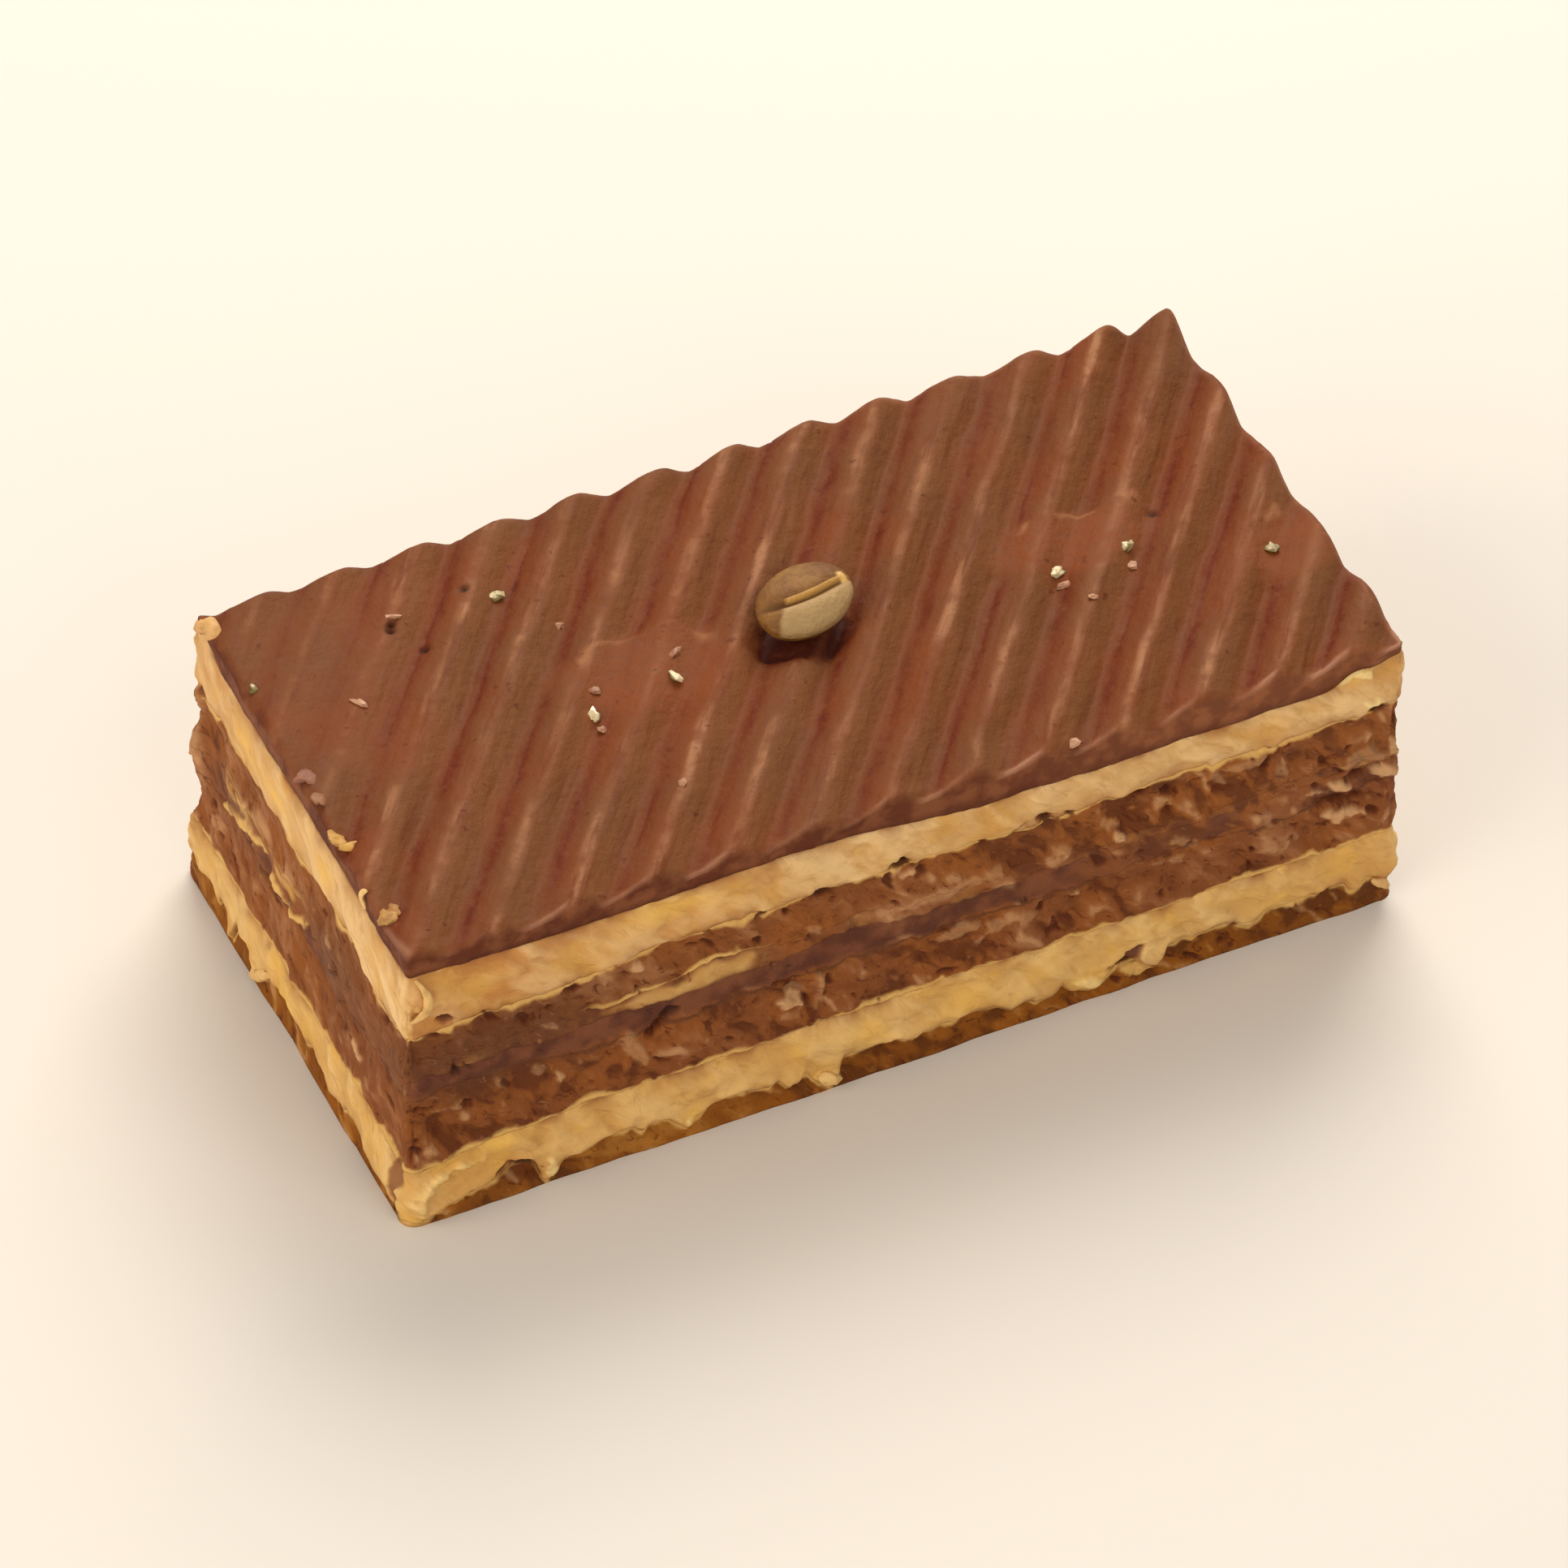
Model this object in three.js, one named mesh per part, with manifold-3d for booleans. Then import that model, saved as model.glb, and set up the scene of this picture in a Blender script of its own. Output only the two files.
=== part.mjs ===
// A rectangular slice of layered chocolate cake: cocoa sponge, coffee cream and dark ganache under a combed
// chocolate glaze, with one coffee bean and a few gold flakes on top.
// Millimetres, +Z up, origin under the middle of the base, +X along the slice.
import * as THREE from "three";
import { mergeVertices } from "three/addons/utils/BufferGeometryUtils.js";
import Module from "manifold-3d";

const wasm = await Module();
wasm.setup();
const { lerp, degToRad } = THREE.MathUtils;

// The cut slice
const LENGTH = 100; // along X, at the glaze
const WIDTH = 48.3; // along Y, at the glaze
const CORNER_RADIUS = 0.6;
const CORNER_STEPS = 2;
const CUT_STEP = 2.2; // spacing of the points round the cut
const BASE_SPREAD = 0.9; // how far the soft base spreads past the glaze on every side
const KNIFE_STRAY = 0.22; // how far the knife wanders off a flat cut
const KNIFE_REACH = 15; // length of one such wander
const CRUMB_SIZE = 3.6; // breadth of a torn lump of sponge
const SEAM_CRAG = 0.12; // roughness of the cut where two layers meet
const SEAM_GAP = 0.05; // clearance between two layers
const SWELL_SIZE = 26; // breadth of a slow rise in a layer
const RAG_SIZE = 6; // breadth of a ragged spot in a layer's edge

// The layers from the bottom up. top: mean height of the upper face; tilt: its rise over the length;
// swell and ragged: its slow and short unevenness; bulge: how far the side stands out at half height;
// crag: roughness of the torn side there; rows: bands of facets up the side.
const LAYERS = [
  { name: "base_sponge", top: 3.4, tilt: 1.1, swell: 0.2, ragged: 0.7, bulge: -0.2, crag: 0.45, rows: 2 },
  { name: "lower_cream", top: 8.7, tilt: 1.6, swell: 0.3, ragged: 0.2, bulge: 0.35, crag: 0.2, rows: 3 },
  { name: "lower_sponge", top: 15.8, tilt: 0.9, swell: 0.3, ragged: 0.3, bulge: -0.2, crag: 0.55, rows: 3 },
  { name: "dark_ganache", top: 18.5, tilt: 0.7, swell: 0.25, ragged: 0.25, bulge: 0.1, crag: 0.2, rows: 1 },
  { name: "middle_cream", top: 19.9, tilt: 0.1, swell: 0.25, ragged: 0.3, bulge: 0, crag: 0.15, rows: 1 },
  { name: "upper_sponge", top: 25.5, tilt: 1, swell: 0.25, ragged: 0.3, bulge: -0.2, crag: 0.55, rows: 3 },
  { name: "upper_cream", top: 30.8, tilt: -0.9, swell: 0.4, ragged: 0.12, bulge: 0.3, crag: 0.15, rows: 3 },
];

// Where a layer's upper face sags near a corner or an end of the slice, or stands up where the depth is below
// zero: how far, and how widely
const SAGS = [
  { layer: "base_sponge", x: -51, y: -25, depth: 2.4, reach: 6 },
  { layer: "base_sponge", x: -51, y: 7.5, depth: -1.2, reach: 14 },
  { layer: "lower_cream", x: -51, y: -25, depth: 1, reach: 9 },
  { layer: "lower_cream", x: -51, y: 3.5, depth: 0.5, reach: 16 },
  { layer: "dark_ganache", x: -51, y: 7.5, depth: 1.3, reach: 12 },
  { layer: "middle_cream", x: -51, y: 7.5, depth: 1.3, reach: 12 },
  { layer: "upper_sponge", x: -51, y: -19.5, depth: 2.4, reach: 6 },
  { layer: "upper_sponge", x: -40, y: -25, depth: 0.9, reach: 7 },
  { layer: "upper_sponge", x: -18, y: -25, depth: -0.5, reach: 10 },
  { layer: "upper_cream", x: 52, y: -25, depth: -2.8, reach: 5.5 },
  { layer: "upper_cream", x: -51, y: 24.8, depth: -2.6, reach: 4 },
];

// The combed glaze
const COMB_ANGLE = degToRad(52); // heading of the ridges, from +X towards +Y
const COMB_PITCH = 6.2; // from crest to crest
const COMB_CREST = 0.74; // how far across the ridges, from the slice's middle, the nearest crest lies
const COMB_DROP = 0.4; // share of a pitch in which a crest falls to the groove after it
const COMB_LEVEL = 33.3; // height of the grooves
const COMB_DEPTH = 1.5; // from groove to crest
const COMB_GAIN = 0.6; // how much deeper the comb cut at the right end than at the left
const COMB_WAVER = 0.35; // how far a ridge strays sideways
const COMB_COLUMNS = 10; // facets across one ridge
const COMB_STATION = 7.5; // spacing of the points along a ridge
const GLAZE_HEADROOM = 38;

// Spots where the comb marks are smeared level: the middle, and half the length and breadth
const SMEARS = [
  { x: -15, y: 0, long: 8, broad: 4.5 },
  { x: 29, y: 0, long: 8, broad: 3.5 },
  { x: 46, y: -8.5, long: 4, broad: 4 },
];
const SMEAR_STRENGTH = 0.7;
const SMEAR_LEVEL = 0.55; // height of a smeared spot, as a share of the comb's depth

// The coffee bean: half sizes, and how it lies
const BEAN = { long: 5, wide: 3.7, belly: 3, face: 1.5 };
const BEAN_CENTRE = [0.7, 0.35, 36.5];
const BEAN_HEADING = degToRad(16);
const BEAN_LEAN = degToRad(9); // tipped towards the front
const BEAN_CREASE = {
  depth: 0.6,
  breadth: 0.5,
  aside: -0.35, // off the middle of the face
  bend: 1.15, // how sharply it curls at its left end
  straight: 0.35, // share of the half length from which it curls
};
const BEAN_GAP = 0.15; // clearance of the hollow that it lies in

// Gold flakes pressed into the glaze, as [x, y]
const FLAKES = [
  [-22, -2.9],
  [-13.3, -1.6],
  [24.8, -3.1],
  [32, -2.9],
  [44.3, -8.6],
  [-23.7, 15.2],
  [-48, 13.4],
];
const FLAKE = { long: 0.8, wide: 0.55, thick: 0.6, sunk: 0.3 };

const COLOURS = {
  base_sponge: 0x5c3a26,
  lower_cream: 0xcfa468,
  lower_sponge: 0x6e4429,
  dark_ganache: 0x4a2c22,
  middle_cream: 0xc19a60,
  upper_sponge: 0x6e4429,
  upper_cream: 0xcd9d5f,
  glaze: 0x7d452b,
  coffee_bean: 0xa8854f,
};
const ROUGHNESS = { sponge: 0.95, cream: 0.6, ganache: 0.5, glaze: 0.4, bean: 0.45 };

// A seeded random value at each corner of a lattice, from -1 to 1
function cornerValue(i, j, k) {
  const wave = Math.sin(i * 127.1 + j * 311.7 + k * 74.7) * 43758.5453;
  return 2 * (wave - Math.floor(wave)) - 1;
}

// The lattice's values blended smoothly: lumps of about the given size, from -1 to 1
function lumps(x, y, z, size) {
  const [i, j, k] = [x, y, z].map((value) => Math.floor(value / size));
  const ease = (value, cell) => THREE.MathUtils.smoothstep(value / size - cell, 0, 1);
  const [u, v, w] = [ease(x, i), ease(y, j), ease(z, k)];
  const row = (b, c) => lerp(cornerValue(i, j + b, k + c), cornerValue(i + 1, j + b, k + c), u);
  const sheet = (c) => lerp(row(0, c), row(1, c), v);
  return lerp(sheet(0), sheet(1), w);
}

// Height of a layer's upper face; index -1 is the flat underside of the slice
function topHeight(index, x, y) {
  if (index < 0) return 0;
  const layer = LAYERS[index];
  const seed = 100 * (index + 1);
  const slow = layer.swell * lumps(x, y, seed, SWELL_SIZE);
  const short = layer.ragged * lumps(x, y, seed, RAG_SIZE);
  const dip = (sag) => sag.depth * Math.exp(-((x - sag.x) ** 2 + (y - sag.y) ** 2) / sag.reach ** 2);
  const dips = SAGS.filter((sag) => sag.layer === layer.name).map(dip);
  const drop = dips.reduce((sum, depth) => sum + depth, 0);
  return layer.top + layer.tilt * x / LENGTH + slow + short - drop;
}

// Points round the cut, counter-clockwise, each with its outward direction
function cutOutline() {
  const points = [];
  const halfX = LENGTH / 2 - CORNER_RADIUS;
  const halfY = WIDTH / 2 - CORNER_RADIUS;
  const corners = [[halfX, -halfY], [halfX, halfY], [-halfX, halfY], [-halfX, -halfY]];
  const addPoint = (x, y, angle) => {
    const normal = [Math.cos(angle), Math.sin(angle)];
    points.push({ x: x + CORNER_RADIUS * normal[0], y: y + CORNER_RADIUS * normal[1], normal });
  };
  corners.forEach(([x, y], k) => {
    const quarter = Math.PI / 2;
    for (let i = 0; i <= CORNER_STEPS; i += 1) {
      addPoint(x, y, (k - 1 + i / CORNER_STEPS) * quarter);
    }
    const [nextX, nextY] = corners[(k + 1) % corners.length];
    const count = Math.round(Math.hypot(nextX - x, nextY - y) / CUT_STEP);
    for (let i = 1; i < count; i += 1) {
      addPoint(lerp(x, nextX, i / count), lerp(y, nextY, i / count), k * quarter);
    }
  });
  return points;
}

// The point of the cut side at an outline point and a height, share of the way up its layer
function sidePoint({ x, y, normal }, z, share, layer) {
  const middle = 4 * share * (1 - share);
  const spread = BASE_SPREAD * Math.max(1 - z / LAYERS.at(-1).top, 0) ** 2;
  const stray = KNIFE_STRAY * lumps(x, y, z, KNIFE_REACH);
  const crag = lerp(SEAM_CRAG, layer.crag, middle) * lumps(x, y, z, CRUMB_SIZE);
  const out = spread + stray + crag + layer.bulge * middle;
  return [x + out * normal[0], y + out * normal[1], z];
}

// A closed solid between two height functions, as wide as the cut
function slabGeometry(outline, layer, bottom, top) {
  const count = outline.length;
  const positions = [];
  const index = [];
  for (let row = 0; row <= layer.rows; row += 1) {
    const share = row / layer.rows;
    for (const point of outline) {
      const z = lerp(bottom(point.x, point.y), top(point.x, point.y), share);
      positions.push(...sidePoint(point, z, share, layer));
    }
  }
  const lowest = positions.length / 3;
  positions.push(0, 0, bottom(0, 0), 0, 0, top(0, 0));
  for (let i = 0; i < count; i += 1) {
    const next = (i + 1) % count;
    index.push(lowest, next, i);
    index.push(lowest + 1, layer.rows * count + i, layer.rows * count + next);
    for (let row = 0; row < layer.rows; row += 1) {
      const [a, b] = [row * count + i, row * count + next];
      index.push(a, b, b + count, a, b + count, a + count);
    }
  }
  const geometry = new THREE.BufferGeometry();
  geometry.setAttribute("position", new THREE.Float32BufferAttribute(positions, 3));
  geometry.setIndex(index);
  return geometry;
}

// Height of one combed ridge over its pitch: 1 on the round crest, 0 in the sharp groove
function ridgeProfile(across) {
  const share = across / COMB_PITCH - Math.floor(across / COMB_PITCH);
  const climb = share < COMB_DROP ? 1 - share / COMB_DROP : (share - COMB_DROP) / (1 - COMB_DROP);
  return 0.5 * climb + 2 * climb ** 2 - 1.5 * climb ** 3;
}

// Height of the glaze's top
function combHeight(x, y) {
  const across = x * Math.sin(COMB_ANGLE) - y * Math.cos(COMB_ANGLE) - COMB_CREST;
  const waver = COMB_WAVER * lumps(x, y, 800, SWELL_SIZE);
  const depth = COMB_DEPTH + COMB_GAIN * x / LENGTH;
  const bump = (smear) => Math.exp(-(((x - smear.x) / smear.long) ** 2 + ((y - smear.y) / smear.broad) ** 2));
  const smeared = SMEAR_STRENGTH * Math.min(SMEARS.reduce((sum, smear) => sum + bump(smear), 0), 1);
  return COMB_LEVEL + depth * lerp(ridgeProfile(across + waver), SMEAR_LEVEL, smeared);
}

// A block whose top carries the comb marks, larger than the slice every way
function combGeometry() {
  const reach = Math.hypot(LENGTH, WIDTH) + 2 * COMB_PITCH;
  const columns = Math.round(reach / COMB_PITCH * COMB_COLUMNS);
  const stations = Math.round(reach / COMB_STATION);
  const box = new THREE.BoxGeometry(reach, reach, COMB_LEVEL, columns, stations, 1);
  const geometry = weld(box.rotateZ(COMB_ANGLE - Math.PI / 2));
  const position = geometry.attributes.position;
  for (let i = 0; i < position.count; i += 1) {
    const isTop = position.getZ(i) > 0;
    position.setZ(i, isTop ? combHeight(position.getX(i), position.getY(i)) : 0);
  }
  return geometry;
}

// The coffee bean, enlarged all round by a margin: a round belly below, a flatter creased face above
function beanGeometry(margin) {
  const geometry = new THREE.SphereGeometry(1, 30, 20);
  const position = geometry.attributes.position;
  for (let i = 0; i < position.count; i += 1) {
    const [x, y, z] = [position.getX(i), position.getZ(i), -position.getY(i)];
    const bend = BEAN_CREASE.aside + BEAN_CREASE.bend * Math.max(BEAN_CREASE.straight - x, 0) ** 2;
    const fall = Math.exp(-(((BEAN.wide * y - bend) / BEAN_CREASE.breadth) ** 2));
    const crease = z > 0 && margin === 0 ? BEAN_CREASE.depth * fall * z : 0;
    const height = z * ((z > 0 ? BEAN.face : BEAN.belly) + margin) - crease;
    position.setXYZ(i, x * (BEAN.long + margin), y * (BEAN.wide + margin), height);
  }
  return geometry.rotateZ(BEAN_HEADING).rotateX(BEAN_LEAN).translate(...BEAN_CENTRE);
}

// A small flat flake, half sunk in the glaze
function flakeGeometry([x, y], index) {
  const geometry = new THREE.OctahedronGeometry(1);
  geometry.scale(FLAKE.long, FLAKE.wide, FLAKE.thick).rotateZ(index);
  return geometry.translate(x, y, combHeight(x, y) - FLAKE.sunk);
}

// The same shape with each shared vertex kept once
function weld(geometry) {
  geometry.deleteAttribute("normal");
  geometry.deleteAttribute("uv");
  return mergeVertices(geometry);
}

function toSolid(geometry) {
  const welded = weld(geometry);
  const vertProperties = welded.attributes.position.array;
  const triVerts = new Uint32Array(welded.index.array);
  return new wasm.Manifold(new wasm.Mesh({ numProp: 3, vertProperties, triVerts }));
}

function toGeometry(solid) {
  const { vertProperties, triVerts } = solid.getMesh();
  const geometry = new THREE.BufferGeometry();
  geometry.setAttribute("position", new THREE.BufferAttribute(vertProperties, 3));
  geometry.setIndex(new THREE.BufferAttribute(triVerts, 1));
  return geometry;
}

function glazeGeometry(outline) {
  const layer = { bulge: 0, crag: SEAM_CRAG, rows: 2 };
  const underside = (x, y) => topHeight(LAYERS.length - 1, x, y);
  const block = toSolid(slabGeometry(outline, layer, underside, () => GLAZE_HEADROOM));
  const combed = block.intersect(toSolid(combGeometry()));
  const flaked = FLAKES.reduce((solid, place, i) => solid.add(toSolid(flakeGeometry(place, i))), combed);
  return toGeometry(flaked.subtract(toSolid(beanGeometry(BEAN_GAP))));
}

function addPiece(group, name, geometry) {
  const food = Object.keys(ROUGHNESS).find((word) => name.includes(word));
  const settings = { color: COLOURS[name], roughness: ROUGHNESS[food], metalness: 0 };
  geometry.computeVertexNormals();
  const mesh = new THREE.Mesh(geometry, new THREE.MeshStandardMaterial(settings));
  mesh.name = name;
  group.add(mesh);
}

const cake = new THREE.Group();
const outline = cutOutline();
LAYERS.forEach((layer, i) => {
  const bottom = (x, y) => topHeight(i - 1, x, y);
  const top = (x, y) => topHeight(i, x, y) - SEAM_GAP;
  addPiece(cake, layer.name, slabGeometry(outline, layer, bottom, top));
});
addPiece(cake, "glaze", glazeGeometry(outline));
addPiece(cake, "coffee_bean", beanGeometry(0));

export default cake;
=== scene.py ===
import math
import bpy
import numpy as np
from mathutils import Matrix


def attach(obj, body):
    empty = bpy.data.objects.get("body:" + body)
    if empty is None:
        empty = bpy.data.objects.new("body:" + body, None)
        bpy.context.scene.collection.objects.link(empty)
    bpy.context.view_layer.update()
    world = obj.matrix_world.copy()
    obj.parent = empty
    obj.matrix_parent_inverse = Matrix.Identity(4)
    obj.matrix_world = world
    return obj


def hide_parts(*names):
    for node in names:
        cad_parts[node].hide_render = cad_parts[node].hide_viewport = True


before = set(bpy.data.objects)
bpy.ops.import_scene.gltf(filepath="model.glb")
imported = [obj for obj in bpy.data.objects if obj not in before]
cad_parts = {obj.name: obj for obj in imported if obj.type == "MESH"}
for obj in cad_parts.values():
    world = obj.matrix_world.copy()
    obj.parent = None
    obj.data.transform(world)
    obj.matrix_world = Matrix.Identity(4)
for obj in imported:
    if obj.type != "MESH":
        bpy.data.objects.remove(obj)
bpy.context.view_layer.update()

mm = 0.001  # shapes are worked out in millimetres and stored in metres
print("frame loaded with", len(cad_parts), "nodes")


# Camera, light and floor

view = {
    "azimuth": -26.48, "elevation": 45.33, "roll": 1.75,  # degrees
    "angle": 9.0,  # full angle of view, degrees
    "distance": 938.35,
    "right": -0.74, "up": 9.38,  # how far the camera stands off the line to the slice's base
}

light = {
    "world": (0.36, (1.0, 0.96, 0.9)),
    # name: azimuth, elevation, distance, width, watts, colour
    "window": (150, 48, 0.75, 0.5, 5.6, (1.0, 0.95, 0.88)),
    "leftFill": (-80, 30, 0.8, 0.7, 4.0, (1.0, 0.94, 0.86)),
    "frontFill": (10, 38, 0.9, 0.7, 2.4, (1.0, 0.94, 0.87)),
    "floorColour": (0.72, 0.67, 0.6),
}


# unit vector from the slice towards an azimuth and elevation; azimuth 0 looks along +Y
def headingVector(azimuth, elevation):
    a, e = math.radians(azimuth), math.radians(elevation)
    return np.array([math.sin(a) * math.cos(e), -math.cos(a) * math.cos(e), math.sin(e)])


# matrix whose Z axis points along back, rolled about it
def standMatrix(back, place, roll=0.0):
    right = np.cross([0.0, 0.0, 1.0], back)
    right /= np.linalg.norm(right)
    up = np.cross(back, right)
    c, s = math.cos(roll), math.sin(roll)
    axes = np.stack([c * right + s * up, c * up - s * right, back, np.zeros(3)], 1)
    matrix = np.vstack([axes, [0.0, 0.0, 0.0, 1.0]])
    matrix[:3, 3] = place
    return Matrix(matrix.tolist())


# a new object in the scene
def addObject(name, data):
    added = bpy.data.objects.new(name, data)
    bpy.context.scene.collection.objects.link(added)
    return added


def makeCamera():
    back = headingVector(view["azimuth"], view["elevation"])
    matrix = standMatrix(back, np.zeros(3), math.radians(view["roll"]))
    right, up = np.array(matrix.col[0][:3]), np.array(matrix.col[1][:3])
    data = bpy.data.cameras.new("photoCamera")
    data.angle = math.radians(view["angle"])
    data.clip_end = 20.0
    camera = addObject("photoCamera", data)
    matrix.translation = ((back * view["distance"] + right * view["right"] + up * view["up"]) * mm).tolist()
    camera.matrix_world = matrix
    bpy.context.scene.camera = camera


def makeLights():
    strength, colour = light["world"]
    world = bpy.data.worlds.new("softRoom")
    world.use_nodes = True
    world.node_tree.nodes["Background"].inputs["Color"].default_value = (*colour, 1.0)
    world.node_tree.nodes["Background"].inputs["Strength"].default_value = strength
    bpy.context.scene.world = world
    bpy.context.scene.view_settings.view_transform = "Standard"
    for name in ("window", "leftFill", "frontFill"):
        azimuth, elevation, distance, width, watts, colour = light[name]
        data = bpy.data.lights.new(name, "AREA")
        data.size, data.energy, data.color = width, watts, colour
        back = headingVector(azimuth, elevation)
        addObject(name, data).matrix_world = standMatrix(back, back * distance)


def makeFloor():
    reach = 3.0
    corners = [(-reach, -reach, 0.0), (reach, -reach, 0.0), (reach, reach, 0.0), (-reach, reach, 0.0)]
    mesh = bpy.data.meshes.new("paleFloor")
    mesh.from_pydata(corners, [], [(0, 1, 2, 3)])
    finish = bpy.data.materials.new("paleFloor")
    finish.use_nodes = True
    shader = finish.node_tree.nodes["Principled BSDF"]
    shader.inputs["Base Color"].default_value = (*light["floorColour"], 1.0)
    shader.inputs["Roughness"].default_value = 0.8
    mesh.materials.append(finish)
    addObject("paleFloor", mesh)


makeCamera()
makeLights()
makeFloor()
print("camera, light and floor made")


# Noise

# random value from -1 to 1 at a lattice corner: what is left of a large sine after its whole part
def cornerValue(i, j, k):
    wave = np.sin(i * 127.1 + j * 311.7 + k * 74.7) * 43758.5453
    return 2 * (wave - np.floor(wave)) - 1


# lumps of about one size: the lattice's corner values eased into each other (the solids have the same lumps)
def lumps(x, y, z, size):
    x, y, z = np.broadcast_arrays(x / size, y / size, z / size)
    i, j, k = np.floor(x), np.floor(y), np.floor(z)
    u, v, w = [f * f * (3 - 2 * f) for f in (x - i, y - j, z - k)]
    total = np.zeros(x.shape)
    for corner in range(8):
        a, b, c = corner & 1, corner >> 1 & 1, corner >> 2
        share = np.abs(1 - a - u) * np.abs(1 - b - v) * np.abs(1 - c - w)
        total += share * cornerValue(i + a, j + b, k + c)
    return total


# lumps on lumps: each round is half as large and half as strong
def crumble(x, y, z, size, rounds=3):
    return sum(lumps(x + 31 * n, y - 17 * n, z + 11 * n, size / 2 ** n) / 2 ** n for n in range(rounds))


# value eased from 0 at low to 1 at high
def ease(value, low, high):
    share = np.clip((value - low) / (high - low), 0, 1)
    return share * share * (3 - 2 * share)


# soft hump, 1 where the gap is nought
def hump(gap, reach):
    return np.exp(-(gap / reach) ** 2)


# soft oval hump about a middle, with its reach each way
def oval(a, b, midA, midB, reachA, reachB):
    return hump(a - midA, reachA) * hump(b - midB, reachB)


# fullness along a path from 0 to 1: most in its middle, little at its ends
def fullness(share):
    return np.sin(math.pi * (0.08 + 0.84 * share))


# two parts of a vector turned by an angle
def turned(a, b, angle):
    c, s = np.cos(angle), np.sin(angle)
    return a * c - b * s, a * s + b * c


# Shape of the slice, as in the solids

cut = {
    "length": 100.0, "width": 48.3, "corner": 0.6,
    "baseSpread": 0.9,  # how far the soft base spreads past the glaze
    "frontSkew": 0.5,  # how much more of that lies at the front's left than at its right
    "rightSpread": 0.35,  # how much more lies at the right end
    "glazeLine": 31.0,
    "stray": 0.22, "strayReach": 15.0,  # the knife's wander off a flat cut
    "cragSize": 3.6, "seamCrag": 0.12,
    "swellSize": 26.0, "ragSize": 6.0, "fraySize": 2.3, "tornSize": 1.5,
    "tongueRag": 0.6, "tongueRagSize": 1.1,  # raggedness of the tongues
    "step": 0.165,  # spacing of points on the cut sides
    "lowest": 0.35, "thinnest": 0.2,  # least height of an upper face, least thickness of a layer
    "inset": 0.9,  # how far in a layer's side runs under and over before it closes
}

# layers from the bottom up: mean height and tilt of the upper face, its slow swells, short lumps and fine
# fray, then the side's bulge and its crags
layerTable = {
    "base_sponge": (3.4, 1.1, 0.2, 0.7, 0.3, -0.2, 0.45),
    "lower_cream": (8.7, 1.6, 0.3, 0.2, 0.25, 0.35, 0.2),
    "lower_sponge": (15.8, 0.9, 0.3, 0.3, 0.35, -0.2, 0.55),
    "dark_ganache": (18.5, 0.7, 0.25, 0.25, 0.25, 0.1, 0.2),
    "middle_cream": (19.9, 0.1, 0.25, 0.3, 0.35, 0.0, 0.15),
    "upper_sponge": (25.5, 1.0, 0.25, 0.3, 0.4, -0.2, 0.55),
    "upper_cream": (30.8, -0.9, 0.4, 0.12, 0.1, 0.3, 0.15),
}
layerParts = ("node", "top", "tilt", "swell", "ragged", "fray", "bulge", "crag")
layers = [dict(zip(layerParts, (node, *values))) for node, values in layerTable.items()]

# where a layer's upper face sags, or stands up where the depth is below zero: x, y, depth, reach
sags = {
    "base_sponge": [(-51, -25, 2.8, 6), (-51, 7.5, -1.2, 14), (-39.3, -24.3, -1.4, 2.2)],
    "lower_cream": [(-51, -25, 1.0, 9), (-51, 3.5, 0.5, 16)],
    "dark_ganache": [(-51, 7.5, 1.3, 12), (-5, -25, -1.1, 7)],
    "middle_cream": [(-51, 7.5, 1.3, 12), (-5, -25, -0.9, 7), (-19, -25, -1.5, 4.5)],
    "upper_sponge": [(-51, -19.5, 2.4, 6), (-40, -25, 0.9, 7), (-18, -25, -0.5, 10)],
    "upper_cream": [(52, -25, -2.8, 5.5), (45, -25, -1.3, 1.8), (-51, 24.8, -2.6, 4), (-14, -25, -0.9, 13),
                    (5, -25, 0.6, 7), (14, -25, 0.4, 12)],
}

# tongues of the lower cream over the base: x, y, depth, half width
tongues = [
    (-36.3, -24.1, 2.6, 1.2), (-27.3, -24.1, 0.9, 1.2), (-22.5, -24.1, 2.0, 2.0),
    (-15.5, -24.1, 0.4, 1.5), (-12.2, -24.1, 1.0, 1.4), (-8.2, -24.1, 2.8, 2.1), (1.5, -24.1, 0.5, 2.0),
    (10.5, -24.1, 0.6, 1.5), (14.5, -24.1, 1.2, 1.6), (18.6, -24.1, 2.4, 2.8), (25.2, -24.1, 1.9, 1.6),
    (35.6, -24.1, 1.5, 1.8), (46.8, -24.1, 1.3, 1.3), (49.6, -24.1, 1.2, 1.0),
    (-50, 18.0, 1.6, 1.0), (-50, 14.0, 2.8, 0.9), (-50, 8.0, 2.8, 1.8), (-50, -2.5, 0.6, 1.5),
    (-50, -10.5, 1.0, 3.0), (50, -13.0, 1.7, 1.9), (50, -4.0, 0.7, 1.4), (50, 9.0, 2.4, 1.5),
    (50, 17.0, 0.9, 2.2), (38.0, 24.1, 1.6, 1.8), (24.0, 24.1, 0.8, 2.4), (9.0, 24.1, 2.5, 1.6),
    (-6.0, 24.1, 1.1, 1.8), (-19.0, 24.1, 2.1, 1.9), (-34.0, 24.1, 0.9, 2.2), (-44.0, 24.1, 1.9, 1.5),
]


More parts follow.
